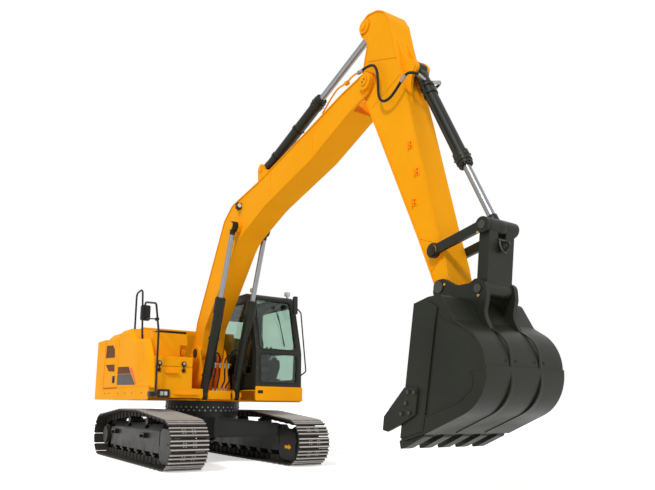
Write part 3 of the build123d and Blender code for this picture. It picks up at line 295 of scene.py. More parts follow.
def makeWireMesh(spec):
    stuff, tree = newStuff("wovenWire")
    place = addNode(tree, "ShaderNodeSeparateXYZ",
                    links={0: addNode(tree, "ShaderNodeTexCoord").outputs["Object"]})
    strands = []
    for axis in (1, 2):
        wave = addNode(tree, "ShaderNodeMath", operation="PINGPONG", values={1: spec["pitch"] / 2},
                       links={0: place.outputs[axis]})
        strands.append(addNode(tree, "ShaderNodeMath", operation="LESS_THAN",
                               values={1: spec["pitch"] / 2 * spec["wireShare"]}, links={0: wave.outputs[0]}))
    wire = addNode(tree, "ShaderNodeMath", operation="MAXIMUM",
                   links={0: strands[0].outputs[0], 1: strands[1].outputs[0]})
    # the holes' near-black colour is painted shade of the dark space behind the vent
    base = addNode(tree, "ShaderNodeMix", data_type="RGBA", links={0: wire.outputs[0]},
                   values={6: toLinear(spec["hole"]), 7: toLinear(spec["wire"])})
    bump = addNode(tree, "ShaderNodeBump", values={"Strength": 0.8, "Distance": 0.003},
                   links={"Height": wire.outputs[0]})
    skin = addNode(tree, "ShaderNodeBsdfPrincipled", values={"Roughness": 0.7, "Specular IOR Level": 0.2},
                   links={"Base Color": base.outputs[2], "Normal": bump.outputs[0]})
    addNode(tree, "ShaderNodeOutputMaterial", links={"Surface": skin.outputs[0]})
    return stuff


plains = {
    # columns: colour, second colour, roughness, metallic, grain and its depth in metres
    # ground pins with a film of grease and dust: dark and half dull
    "pinSteel": ("#3B3A35", "#4C483F", 0.42, 0.5, 0.003, 0.0003),
    # hard chrome on a ground rod: a long soft highlight
    "chromedSteel": ("#86888B", "#96989B", 0.34, 1.0, 0, 0),
    # zinc plate on turned fittings: pale, a little mottled
    "zincSteel": ("#8C8A84", "#A5A39C", 0.35, 0.9, 0.003, 0.0002),
    # turned brass: small warm glints
    "brass": ("#D2B25C", "#B99A48", 0.35, 0.9, 0.003, 0.0002),
    # cut vinyl film: flat and even, with a soft shine
    "orangeVinyl": ("#F2501E", "#EE4A1A", 0.35, 0.0, 0.003, 0.0001),
    "blackVinyl": ("#2A2521", "#332C26", 0.35, 0.0, 0.003, 0.0001),
    # silvered glass: shows what stands round it
    "mirrorGlass": ("#9AA0A0", "#9AA0A0", 0.06, 1.0, 0, 0),
    # sand-cast iron: rough and dull
    "castIron": ("#3C3D3E", "#4A4B4B", 0.6, 0.2, 0.004, 0.0006),
    # woven seat cloth: no shine, its weave drawn 2.5 mm wide so that it shows
    "seatCloth": ("#2A2B2D", "#36373A", 0.85, 0.0, 0.0025, 0.0008),
    # moulded rubber: black with a broad dull highlight
    "rubber": ("#1B1B1B", "#242424", 0.6, 0.0, 0.003, 0.0003),
    # moulded polycarbonate: pale and glossy
    "lampLens": ("#DADAD6", "#E6E6E2", 0.15, 0.0, 0, 0),
    # tinted float glass: clear and faintly green; its low IOR stands for a thin pane
    "tintedGlass": ("#C4D8CC", "#C4D8CC", 0.02, 0.0, 0, 0, 1.0, 1.3),
}
stuffs = {name: makeEnamel(name, spec) for name, spec in finishes.items()}
stuffs.update((name, makePlain(name, *values)) for name, values in plains.items())
stuffs["shoeSteel"] = makeShoeSteel(shoeSteel)
stuffs["wovenWire"] = makeWireMesh(wireMesh)

finishOfSlot = {
    "yellow_paint": "yellowEnamel", "dark_paint": "charcoalEnamel", "black_paint": "blackEnamel",
    "track_steel": "shoeSteel", "pin_steel": "pinSteel", "rod_chrome": "chromedSteel",
    "engine_iron": "castIron", "seat_fabric": "seatCloth", "mount_rubber": "rubber",
    "window_glass": "tintedGlass", "lamp_plastic": "lampLens",
}
finishOfNode = {"boom_pins": "yellowEnamel", "arm_pins": "yellowEnamel"}    # their caps are painted with the boom
for part in frame["record"]["subparts"]:
    mesh = nodes[part["node"]].data
    mesh.materials.clear()
    mesh.materials.append(stuffs[finishOfNode.get(part["node"], finishOfSlot[part["material_slot"]])])
print("materials made")


# mesh helpers: outlines are drawn in the side view as (forward, up), and at() takes (x, forward, up)
# smooth is the angle over which edges stay sharp; without a body a piece is left unattached
def makePiece(name, shape, body, finish, smooth=35, bevel=0.0):
    bmesh.ops.remove_doubles(shape, verts=shape.verts, dist=1e-5)
    bmesh.ops.recalc_face_normals(shape, faces=shape.faces)
    if bevel:
        sharp = [e for e in shape.edges if e.is_manifold and e.calc_face_angle(0) > math.radians(smooth)]
        bmesh.ops.bevel(shape, geom=sharp, offset=bevel, segments=2, profile=0.6, affect="EDGES",
                        clamp_overlap=True)
    mesh = bpy.data.meshes.new(name)
    shape.to_mesh(mesh)
    shape.free()
    return finishMesh(name, mesh, body, finish, smooth)


def finishMesh(name, mesh, body, finish, smooth=35):
    mesh.materials.clear()
    mesh.materials.append(stuffs[finish])
    mesh.shade_smooth()
    mesh.set_sharp_from_angle(angle=math.radians(smooth))
    thing = bpy.data.objects.new(name, mesh)
    bpy.context.scene.collection.objects.link(thing)
    if body:
        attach(thing, body)
    return thing


def addSlab(shape, outline, low, high):
    rows = [[shape.verts.new((x, -forward, up)) for forward, up in outline] for x in (low, high)]
    shape.faces.new(rows[0])
    shape.faces.new(list(reversed(rows[1])))
    count = len(outline)
    for i in range(count):
        j = (i + 1) % count
        shape.faces.new((rows[0][j], rows[0][i], rows[1][i], rows[1][j]))


def corners(left, low, right, high):
    return [(left, low), (right, low), (right, high), (left, high)]


def addBox(shape, low, high):
    addSlab(shape, corners(*low[1:], *high[1:]), low[0], high[0])


def addRound(shape, start, end, radius, sides=24, endRadius=None):
    axis = Vector(end) - Vector(start)
    turn = axis.to_track_quat("Z", "Y").to_matrix().to_4x4()
    middle = (Vector(start) + Vector(end)) / 2
    bmesh.ops.create_cone(shape, cap_ends=True, segments=sides, radius1=radius,
                          radius2=radius if endRadius is None else endRadius, depth=axis.length,
                          matrix=Matrix.Translation(middle) @ turn)


def newLine(radius, sides, steps):
    line = bpy.data.curves.new("tubeLine", "CURVE")
    line.dimensions = "3D"
    line.bevel_depth = radius
    line.bevel_resolution = sides
    line.use_fill_caps = True
    line.resolution_u = steps
    return line


# a bent pipe: straight runs with rounded corners
def addTube(shape, points, radius, bend=0.05, sides=5):
    spots = [Vector(p) for p in points]
    line = newLine(radius, sides, 6)
    spline = line.splines.new("BEZIER")
    knots = [(spots[0], None, None)]
    for before, here, after in zip(spots, spots[1:], spots[2:]):
        back = (before - here).normalized()
        ahead = (after - here).normalized()
        cut = min(bend, (before - here).length * 0.49, (after - here).length * 0.49)
        knots.append((here + back * cut, None, here + back * cut * 0.45))
        knots.append((here + ahead * cut, here + ahead * cut * 0.45, None))
    knots.append((spots[-1], None, None))
    spline.bezier_points.add(len(knots) - 1)
    for knot, (place, left, right) in zip(spline.bezier_points, knots):
        knot.co = place
        knot.handle_left = left or place
        knot.handle_right = right or place
    addCurve(shape, line)


def addCurve(shape, line, place=None):
    thing = bpy.data.objects.new("tubeLine", line)
    bpy.context.scene.collection.objects.link(thing)
    view = bpy.context.evaluated_depsgraph_get()
    mesh = bpy.data.meshes.new_from_object(thing.evaluated_get(view))
    for spot in mesh.vertices if place else ():
        spot.co = place(*spot.co)
    shape.from_mesh(mesh)
    bpy.data.objects.remove(thing)
    bpy.data.meshes.remove(mesh)


# a hose: one smooth curve that is drawn towards its points
def addHose(shape, points, radius, sides):
    line = newLine(radius, sides, 8)
    spline = line.splines.new("NURBS")
    spline.points.add(len(points) - 1)
    for knot, place in zip(spline.points, points):
        knot.co = (*place, 1)
    spline.order_u = 3
    spline.use_endpoint_u = True
    addCurve(shape, line)


# Geometry Nodes: a tree with named inputs, run on a mesh of points or edges and turned into a plain mesh
def newTree(name, inputs):
    tree = bpy.data.node_groups.new(name, "GeometryNodeTree")
    tree.interface.new_socket("Geometry", in_out="INPUT", socket_type="NodeSocketGeometry")
    for label, kind in inputs + [("Finish", "Material")]:
        tree.interface.new_socket(label, in_out="INPUT", socket_type="NodeSocket" + kind)
    tree.interface.new_socket("Geometry", in_out="OUTPUT", socket_type="NodeSocketGeometry")
    return tree, addNode(tree, "NodeGroupInput")


def closeTree(tree, taken, placed):
    solid = addNode(tree, "GeometryNodeRealizeInstances", links={0: placed.outputs[0]})
    coloured = addNode(tree, "GeometryNodeSetMaterial",
                       links={"Geometry": solid.outputs[0], "Material": taken.outputs["Finish"]})
    addNode(tree, "NodeGroupOutput", links={0: coloured.outputs[0]})
    return tree


def runTree(name, mesh, tree, values, body, finish, smooth=35):
    values["Finish"] = stuffs[finish]
    thing = bpy.data.objects.new(name, mesh)
    bpy.context.scene.collection.objects.link(thing)
    grow = thing.modifiers.new("grow", "NODES")
    grow.node_group = tree
    for item in tree.interface.items_tree:
        if item.in_out == "INPUT" and item.name in values:
            grow[item.identifier] = values[item.name]
    view = bpy.context.evaluated_depsgraph_get()
    made = bpy.data.meshes.new_from_object(thing.evaluated_get(view))
    bpy.data.objects.remove(thing)
    return finishMesh(name, made, body, finish, smooth)


def makeBoltTree():
    tree, taken = newTree("hexBolts", [(label, "Float") for label in ("Head Width", "Head Height", "Washer Width",
                                                                      "Washer Height")])
    # a hexagon's radius is 0.577 of its width over the flats
    radius = addNode(tree, "ShaderNodeMath", operation="MULTIPLY", values={1: 0.577},
                     links={0: taken.outputs["Head Width"]})
    head = addNode(tree, "GeometryNodeMeshCylinder", values={"Vertices": 6},
                   links={"Radius": radius.outputs[0], "Depth": taken.outputs["Head Height"]})
    washRadius = addNode(tree, "ShaderNodeMath", operation="MULTIPLY", values={1: 0.5},
                         links={0: taken.outputs["Washer Width"]})
    washer = addNode(tree, "GeometryNodeMeshCylinder", values={"Vertices": 18},
                     links={"Radius": washRadius.outputs[0], "Depth": taken.outputs["Washer Height"]})
    lift = addNode(tree, "ShaderNodeMath", operation="MULTIPLY_ADD", values={1: 0.5},
                   links={0: taken.outputs["Head Height"], 2: taken.outputs["Washer Height"]})
    half = addNode(tree, "ShaderNodeMath", operation="MULTIPLY", values={1: 0.5},
                   links={0: taken.outputs["Washer Height"]})
    liftBy = addNode(tree, "ShaderNodeCombineXYZ", links={2: lift.outputs[0]})
    halfBy = addNode(tree, "ShaderNodeCombineXYZ", links={2: half.outputs[0]})
    headUp = addNode(tree, "GeometryNodeTransform",
                     links={"Geometry": head.outputs["Mesh"], "Translation": liftBy.outputs[0]})
    washerUp = addNode(tree, "GeometryNodeTransform",
                       links={"Geometry": washer.outputs["Mesh"], "Translation": halfBy.outputs[0]})
    bolt = addNode(tree, "GeometryNodeJoinGeometry", links={0: headUp.outputs[0]})
    tree.links.new(washerUp.outputs[0], bolt.inputs[0])
    facing = addNode(tree, "GeometryNodeInputNamedAttribute", data_type="FLOAT_VECTOR", values={"Name": "facing"})
    aim = addNode(tree, "FunctionNodeAlignRotationToVector", axis="Z",
                  links={"Vector": facing.outputs["Attribute"]})
    placed = addNode(tree, "GeometryNodeInstanceOnPoints",
                     links={"Points": taken.outputs["Geometry"], "Instance": bolt.outputs[0],
                            "Rotation": aim.outputs[0]})
    return closeTree(tree, taken, placed)


boltTree = makeBoltTree()


def addBolts(name, spots, body, finish, size):
    mesh = bpy.data.meshes.new(name)
    mesh.from_pydata([place for place, facing in spots], [], [])
    facings = mesh.attributes.new("facing", "FLOAT_VECTOR", "POINT")
    for i, (place, facing) in enumerate(spots):
        facings.data[i].vector = facing
    values = {"Head Width": size, "Head Height": size * 0.42, "Washer Width": size * 1.25,
              "Washer Height": size * 0.12}
    return runTree(name, mesh, boltTree, values, body, finish)


# track chains: one shoe with its links, laid along the loop; sizes are in metres
chain = {
    "gauge": 2.18, "length": 4.08, "endRadius": 0.385, "bend": 0.42, "top": 0.885, "shoes": 47,
    "carriers": (-0.48, 0.42), "shoeWidth": 0.6, "grouser": 0.026, "plate": 0.012, "linkHeight": 0.095,
    "linkSpacing": 0.156, "linkWidth": 0.038, "pinRadius": 0.02, "bushRadius": 0.031,
}


def loopPoints(spec, depth, steps=16):
    halfBase = spec["length"] / 2 - spec["endRadius"]
    end = spec["endRadius"] - depth
    bend = spec["bend"] - depth
    rounds = [(halfBase, spec["endRadius"], end)]
    rounds += [(c, spec["top"] - spec["bend"], bend) for c in reversed(spec["carriers"])]
    rounds.append((-halfBase, spec["endRadius"], end))
    points = []
    start = -90.0
    for i, (forward, up, radius) in enumerate(rounds):
        stop = 270.0
        if i + 1 < len(rounds):
            nextForward, nextUp, nextRadius = rounds[i + 1]
            gap = math.hypot(nextForward - forward, nextUp - up)
            heading = math.degrees(math.atan2(nextUp - up, nextForward - forward))
            stop = (heading - 90 + math.degrees(math.asin((radius - nextRadius) / gap))) % 360
        for step in range(steps + 1):
            angle = math.radians(start + (stop - start) * step / steps)
            points.append((forward + radius * math.cos(angle), up + radius * math.sin(angle)))
        start = stop
    return points


def makeShoe(spec, pitch):
    shape = bmesh.new()
    half = pitch / 2
    high, thick, wide = spec["grouser"], spec["plate"], spec["shoeWidth"] / 2
    # columns: along the travel, height over the plate's underside
    rows = [(-half - 0.012, 0.004), (-half - 0.004, thick), (-half + 0.004, thick + 0.001),
            (-half + 0.009, thick + high), (-half + 0.024, thick + high), (-half + 0.034, thick),
            (-0.028, thick), (-0.018, thick + high - 0.004), (-0.003, thick + high - 0.004), (0.007, thick),
            (0.031, thick), (0.041, thick + high - 0.004), (0.056, thick + high - 0.004), (0.063, thick),
            (half - 0.030, thick), (half - 0.018, thick - 0.004), (half - 0.014, -0.002), (half - 0.034, 0.0),
            (-half + 0.02, 0.0), (-half + 0.004, -0.001)]
    inset = 0.022    # of the shoe's clipped ends
    sections = []
    for x, cut in ((-wide, inset), (-wide + inset, 0), (wide - inset, 0), (wide, inset)):
        limit = half + 0.012 - cut
        sections.append([shape.verts.new((x, max(-limit, min(limit - 0.02, y)), z)) for y, z in rows])
    shape.faces.new(list(reversed(sections[0])))
    shape.faces.new(sections[-1])
    for near, far in zip(sections, sections[1:]):
        for i in range(len(rows)):
            j = (i + 1) % len(rows)
            shape.faces.new((near[i], near[j], far[j], far[i]))
    # a pair of links, each with an inner and an outer end, and the pin with its bush
    drop = -spec["linkHeight"]
    for side in (-1, 1):
        middle = side * spec["linkSpacing"] / 2
        thin = spec["linkWidth"] / 2
        for shift, low, high in ((side * thin * 0.5, -half - 0.03, 0.01), (-side * thin * 0.5, -0.01, half + 0.03)):
            outline = [(low, -0.004), (high, -0.004), (high, drop * 0.35), (high - 0.012, drop * 0.92),
                       (high - 0.03, drop), (low + 0.03, drop), (low + 0.012, drop * 0.92), (low, drop * 0.35)]
            addSlab(shape, [(-y, z) for y, z in outline], middle + shift - thin * 0.62, middle + shift + thin * 0.62)
    across = spec["linkSpacing"] / 2
    for reach, radius, sides in ((across + 0.024, spec["pinRadius"], 12), (across - 0.012, spec["bushRadius"], 14)):
        addRound(shape, (-reach, -half, drop * 0.5), (reach, -half, drop * 0.5), radius, sides)
    for x in (-across - 0.02, -across + 0.02, across - 0.02, across + 0.02):
        for y in (-0.034, 0.019):
            addRound(shape, (x, y, thick), (x, y, thick + 0.013), 0.012, 6)
    bmesh.ops.recalc_face_normals(shape, faces=shape.faces)
    mesh = bpy.data.meshes.new("shoe")
    shape.to_mesh(mesh)
    shape.free()
    # the grousers' tops and upper flanks are marked pale: partly real rubbing, partly a painted highlight standing
    # for the sun on them
    wearAndHighlight = mesh.attributes.new("wearAndHighlight", "FLOAT", "POINT")
    for spot, wornAndHighlight in zip(mesh.vertices, wearAndHighlight.data):
        wornAndHighlight.value = min(max((spot.co.z - thick - 0.003) / (spec["grouser"] * 0.6), 0.0), 1.0)
    return mesh


def makeChainTree():
    tree, taken = newTree("trackChain", [("Shoe", "Object"), ("Shoe Count", "Int")])
    line = addNode(tree, "GeometryNodeMeshToCurve", links={0: taken.outputs["Geometry"]})
    spots = addNode(tree, "GeometryNodeCurveToPoints", mode="COUNT",
                    links={"Curve": line.outputs[0], "Count": taken.outputs["Shoe Count"]})
    turned = addNode(tree, "FunctionNodeAlignRotationToVector", axis="Y", pivot_axis="X",
                     links={"Vector": spots.outputs["Tangent"]})
    shoe = addNode(tree, "GeometryNodeObjectInfo", links={0: taken.outputs["Shoe"]})
    placed = addNode(tree, "GeometryNodeInstanceOnPoints",
                     links={"Points": spots.outputs["Points"], "Instance": shoe.outputs["Geometry"],
                            "Rotation": turned.outputs[0]})
    return closeTree(tree, taken, placed)


def makeTracks(spec):
    points = loopPoints(spec, spec["grouser"] + spec["plate"])
    length = sum(math.dist(a, b) for a, b in zip(points, points[1:] + points[:1]))
    pitch = length / spec["shoes"]
    shoe = bpy.data.objects.new("shoe", makeShoe(spec, pitch))
    tree = makeChainTree()
    for side, node in ((-1, "track_right"), (1, "track_left")):
        x = side * spec["gauge"] / 2
        mesh = bpy.data.meshes.new("loop")
        count = len(points)
        mesh.from_pydata([(x, -forward, up) for forward, up in points],
                         [(i, (i + 1) % count) for i in range(count)], [])
        piece = runTree(node + "_chain", mesh, tree,
                        {"Shoe": shoe, "Shoe Count": spec["shoes"]},
                        "undercarriage", "shoeSteel", 30)
        for spot in piece.data.vertices:
            spot.co.z = max(spot.co.z, 0.0)
        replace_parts(piece, node)


makeTracks(chain)
print("tracks laid")


# places: a beam's own (along, up) turned into (forward, up), and (x, forward, up) into the scene's axes
def onBeam(beam, along, up):
    turn = math.radians(beam["angle"])
    forward, height = beam["pin"]
    return (forward + along * math.cos(turn) - up * math.sin(turn),
            height + along * math.sin(turn) + up * math.cos(turn))


def at(x, forward, up):
    return (x, -forward, up)


# each beam's pin as (forward, up), and the angle of its length over the level in degrees
beams = {
    "boom": {"pin": (0.200, 1.880), "angle": 32.7},
    "arm": {"pin": (4.9966, 4.9594), "angle": -68.07},
    "bucket": {"pin": (6.1170, 2.1764), "angle": 0.0},
    "rocker": {"pin": (6.037, 2.576), "angle": 10.5},
    "boomCylinder": {"pin": (0.687, 1.132), "angle": 70.79},
    "armCylinder": {"pin": (2.180, 4.765), "angle": 20.07},
    "bucketCylinder": {"pin": (5.699, 4.832), "angle": -65.19},
}


# rounds the corners of an outline or, where it isn't closed, of a line
def roundOff(points, radius, steps=4, closed=True):
    made = []
    for i, spot in enumerate(points):
        if not closed and i in (0, len(points) - 1):
            made.append(tuple(spot))
            continue
        here = Vector(spot)
        back, ahead = Vector(points[i - 1]) - here, Vector(points[(i + 1) % len(points)]) - here
        angle = back.angle(ahead)
        cut = min(radius / math.tan(angle / 2), back.length * 0.48, ahead.length * 0.48)
        first, last = here + back.normalized() * cut, here + ahead.normalized() * cut
        for step in range(steps + 1):
            t = step / steps
            made.append(tuple(first * (1 - t) ** 2 + here * 2 * t * (1 - t) + last * t * t))
    return made


# the outline drawn in by the inset, or out where that is negative
def drawIn(points, inset):
    spots = [Vector(p) for p in points]
    area = sum(a.x * b.y - b.x * a.y for a, b in zip(spots, spots[1:] + spots[:1]))
    side = 1 if area > 0 else -1
    made = []
    for i, here in enumerate(spots):
        come = (here - spots[i - 1]).normalized()
        leave = (spots[(i + 1) % len(spots)] - here).normalized()
        inward = (Vector((-come.y, come.x)) + Vector((-leave.y, leave.x))).normalized() * side
        made.append(tuple(here + inward * inset / max(inward.dot(Vector((-come.y, come.x)) * side), 0.3)))
    return made


# where a plate's outline (a, b) and depth t lie: seen from the side, from the front or from above
def sideways(a, b, t):
    return Vector((t, -a, b))


def ahead(a, b, t):
    return Vector((a, -t, b))


def level(a, b, t):
    return Vector((a, -b, t))


# a flat plate from its outer loop and the loops of its holes
def addPlate(shape, loops, low, high, place=sideways):
    line = bpy.data.curves.new("plateLine", "CURVE")
    line.dimensions = "2D"
    line.fill_mode = "BOTH"
    line.extrude = (high - low) / 2
    for loop in loops:
        spline = line.splines.new("POLY")
        spline.points.add(len(loop) - 1)
        for knot, (a, b) in zip(spline.points, loop):
            knot.co = (a, b, 0, 1)
        spline.use_cyclic_u = True
    addCurve(shape, line, lambda a, b, t: place(a, b, (low + high) / 2 + t))


def addRing(shape, outer, inset, low, high, radius=0.04, place=sideways):
    addPlate(shape, [roundOff(outer, radius), roundOff(drawIn(outer, inset), max(radius - inset, 0.004))],
             low, high, place)


# a band on a line of the side view, its thickness to the line's right
def addStrip(shape, path, low, high, thick):
    spots = [Vector(p) for p in path]
    outer = []
    for i, here in enumerate(spots):
        run = spots[min(i + 1, len(spots) - 1)] - spots[max(i - 1, 0)]
        outer.append(here + Vector((run.y, -run.x)).normalized() * thick)
    rows = [[shape.verts.new(sideways(p.x, p.y, x)) for p in line] for line in (spots, outer) for x in (low, high)]
    quad = (rows[0], rows[1], rows[3], rows[2])
    for i in range(len(spots) - 1):
        for a, b in zip(quad, quad[1:] + quad[:1]):
            shape.faces.new((a[i], b[i], b[i + 1], a[i + 1]))
    shape.faces.new([row[0] for row in quad])
    shape.faces.new([row[-1] for row in reversed(quad)])


def addBead(shape, start, end, radius=0.006):
    addTube(shape, (start, end), radius, 0.01, 1)


# Geometry Nodes: a rank of louvre slats on a line of points
def makeSlatTree():
    tree, taken = newTree("louvreSlats", [(label, "Float") for label in ("Slat Length", "Slat Depth",
                                                                         "Slat Thickness", "Tilt")])
    size = addNode(tree, "ShaderNodeCombineXYZ", links={0: taken.outputs["Slat Depth"],
                                                        1: taken.outputs["Slat Length"],
                                                        2: taken.outputs["Slat Thickness"]})
    slat = addNode(tree, "GeometryNodeMeshCube", links={"Size": size.outputs[0]})
    turn = addNode(tree, "ShaderNodeCombineXYZ", links={1: taken.outputs["Tilt"]})
    tilted = addNode(tree, "GeometryNodeTransform",
                     links={"Geometry": slat.outputs["Mesh"], "Rotation": turn.outputs[0]})
    placed = addNode(tree, "GeometryNodeInstanceOnPoints",
                     links={"Points": taken.outputs["Geometry"], "Instance": tilted.outputs[0]})
    return closeTree(tree, taken, placed)


slatTree = makeSlatTree()


def addSlats(name, spots, body, finish, length, depth, tilt):
    mesh = bpy.data.meshes.new(name)
    mesh.from_pydata(spots, [], [])
    values = {"Slat Length": length, "Slat Depth": depth, "Slat Thickness": 0.004, "Tilt": math.radians(tilt)}
    return runTree(name, mesh, slatTree, values, body, finish)


# pump door: replaces the plain door with one that has the two woven vents and the latch
pumpDoor = {
    "panel": (-1.732, 1.26, -0.862, 2.17), "side": -1.35, "thick": 0.03,
    "vents": (((-1.657, 2.085), (-1.238, 2.068), (-1.092, 1.98), (-1.056, 1.811), (-1.690, 1.826)),
              ((-1.676, 1.709), (-1.058, 1.693), (-1.026, 1.548), (-1.441, 1.563))),
    "latch": (-1.153, 1.34, -1.01, 1.474),
}


def makePumpDoor(spec):
    side, inner = spec["side"], spec["side"] + spec["thick"]
    shape = bmesh.new()
    addPlate(shape, [corners(*spec["panel"])] + [roundOff(vent, 0.02) for vent in spec["vents"]], side, inner)
    door = makePiece("pump_door_panel", shape, "pump_door", "yellowEnamel", 35, 0.004)
    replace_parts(door, "pump_door")
    shape = bmesh.new()
    for vent in spec["vents"]:
        addRing(shape, drawIn(vent, -0.012), 0.02, side - 0.004, side + 0.004, 0.03)
    makePiece("pump_door_vent_frames", shape, "pump_door", "yellowEnamel", 35, 0.002)
    shape = bmesh.new()
    for vent in spec["vents"]:
        addPlate(shape, [drawIn(vent, -0.008)], side + 0.008, side + 0.014)
    makePiece("pump_door_mesh", shape, "pump_door", "wovenWire")
    rear, low, front, high = spec["latch"]
    shape = bmesh.new()
    addPlate(shape, [roundOff(corners(rear, low, front, high), 0.025)], side - 0.006, side + 0.002)
    grip = corners(rear + 0.03, low + 0.02, front - 0.03, high - 0.045)
    addPlate(shape, [roundOff(grip, 0.012)], side - 0.016, side - 0.004)
    makePiece("pump_door_latch", shape, "pump_door", "rubber", 35, 0.003)


# right side cover: the dark patch with its woven part, the slanting stripe and the pressed panel
sideCover = {
    "side": -1.35,
    "mesh": ((-0.838, 1.628), (-0.212, 1.609), (-0.072, 1.484), (-0.838, 1.500)),
    "patch": ((-0.838, 1.494), (-0.066, 1.478), (0.197, 1.284), (-0.838, 1.300)),
    "stripe": ((-0.165, 1.592), (-0.030, 1.580), (0.268, 1.292), (0.212, 1.294)),
    "pressed": ((0.297, 1.838), (0.522, 1.817), (0.625, 1.358), (0.313, 1.328)),
    "seam": (-0.838, 1.25, 0.90, 1.27), "skirtBolts": (-1.6, -1.32, -0.76, -0.34, 0.05, 0.55), "boltsUp": 1.15,
}


def makeSideCover(spec):
    side = spec["side"]
    for name, key, finish, slotName, proud in (
            ("cover_mesh", "mesh", "wovenWire", "black_paint", 0.0015),
            ("cover_patch", "patch", "blackVinyl", "black_paint", 0.0012),
            ("cover_stripe", "stripe", "orangeVinyl", "yellow_paint", 0.001)):
        shape = bmesh.new()
        addPlate(shape, [spec[key]], side - proud, side + 0.002)
        makePiece(name, shape, "house", finish)
    shape = bmesh.new()
    addRing(shape, spec["pressed"], 0.018, side - 0.003, side + 0.002, 0.03)
    addPlate(shape, [corners(*spec["seam"])], side - 0.004, side + 0.002)
    makePiece("cover_presswork", shape, "house", "yellowEnamel", 35, 0.0014)
    addBolts("skirt_bolts", [(at(side, forward, spec["boltsUp"]), (-1, 0, 0)) for forward in spec["skirtBolts"]],
             "house", "pinSteel", 0.016)


# tool box: two rubber latches on the lid, a button on each and their keepers on the box
toolBox = {
    "latches": (-1.186, -0.758), "front": 0.86, "seam": 1.583,
    # columns: piece, half widths and heights over the seam from the bottom up, corner radius, near and far face
    "plates": (("strap", ((0.035, 0.012), (0.042, 0.05), (0.02, 0.085)), 0.014, 0.0, 0.022),
               ("strap", ((0.011, -0.06), (0.014, 0.03)), 0.005, 0.004, 0.016),
               ("keeper", ((0.03, -0.095), (0.024, -0.062)), 0.008, -0.002, 0.012)),
    "bar": (0.034, -0.05, 0.009), "button": (0.022, 0.05),
}


def makeToolBox(spec):
    made = {"strap": bmesh.new(), "keeper": bmesh.new()}
    button = bmesh.new()
    front, seam = spec["front"], spec["seam"]
    half, up, radius = spec["bar"]
    wide, rise = spec["button"]
    for x in spec["latches"]:
        for name, rows, rounding, near, far in spec["plates"]:
            right = [(x + a, seam + b) for a, b in rows]
            left = [(x - a, seam + b) for a, b in reversed(rows)]
            outline = [left[-1]] + right + left[:-1]
            addPlate(made[name], [roundOff(outline, rounding)], front + near, front + far, ahead)
        addRound(made["strap"], at(x - half, front + 0.014, seam + up), at(x + half, front + 0.014, seam + up),
                 radius, 12)
        circle = [(x + wide * math.cos(a * math.pi / 10), seam + rise + wide * math.sin(a * math.pi / 10))
                  for a in range(20)]
        addPlate(button, [circle], front + 0.02, front + 0.026, ahead)
    makePiece("tool_box_latches", made["strap"], "tool_box_lid", "rubber", 35, 0.002)
    makePiece("tool_box_latch_buttons", button, "tool_box_lid", "zincSteel", 35, 0.0015)
    makePiece("tool_box_keepers", made["keeper"], "house", "rubber", 35, 0.002)


# house front: the skirt lamp in its guard, black tread on the tank, shelf plate, the filler in its recess,
# the plate under the cab's front with its socket, and the bolts at the rail's foot
houseFront = {
    "skirt": 0.87, "lamp": (-1.20, 1.075, -0.99, 1.207), "barsIn": 0.035,
    "tread": (-1.13, 0.30, -0.62, 0.585), "treadTop": 2.16, "treadBar": 0.024,
    "shelf": ((-0.90, 0.866), (-0.49, 0.866), (-0.49, 0.89), (-0.82, 0.915), (-0.90, 0.88)), "shelfUp": 1.125,
    "recess": (-0.70, 1.80, -0.615, 1.93), "recessBack": 0.522, "fillerUp": 1.855,
    "kickPlate": (0.40, 1.05, 1.345, 1.292), "kickFace": 1.262, "socket": (0.440, 1.175, 0.540, 1.225),
    "footForward": 0.977, "footBolts": ((-1.345, 1.10), (-1.345, 1.15), (-1.265, 1.10), (-1.265, 1.15)),
}


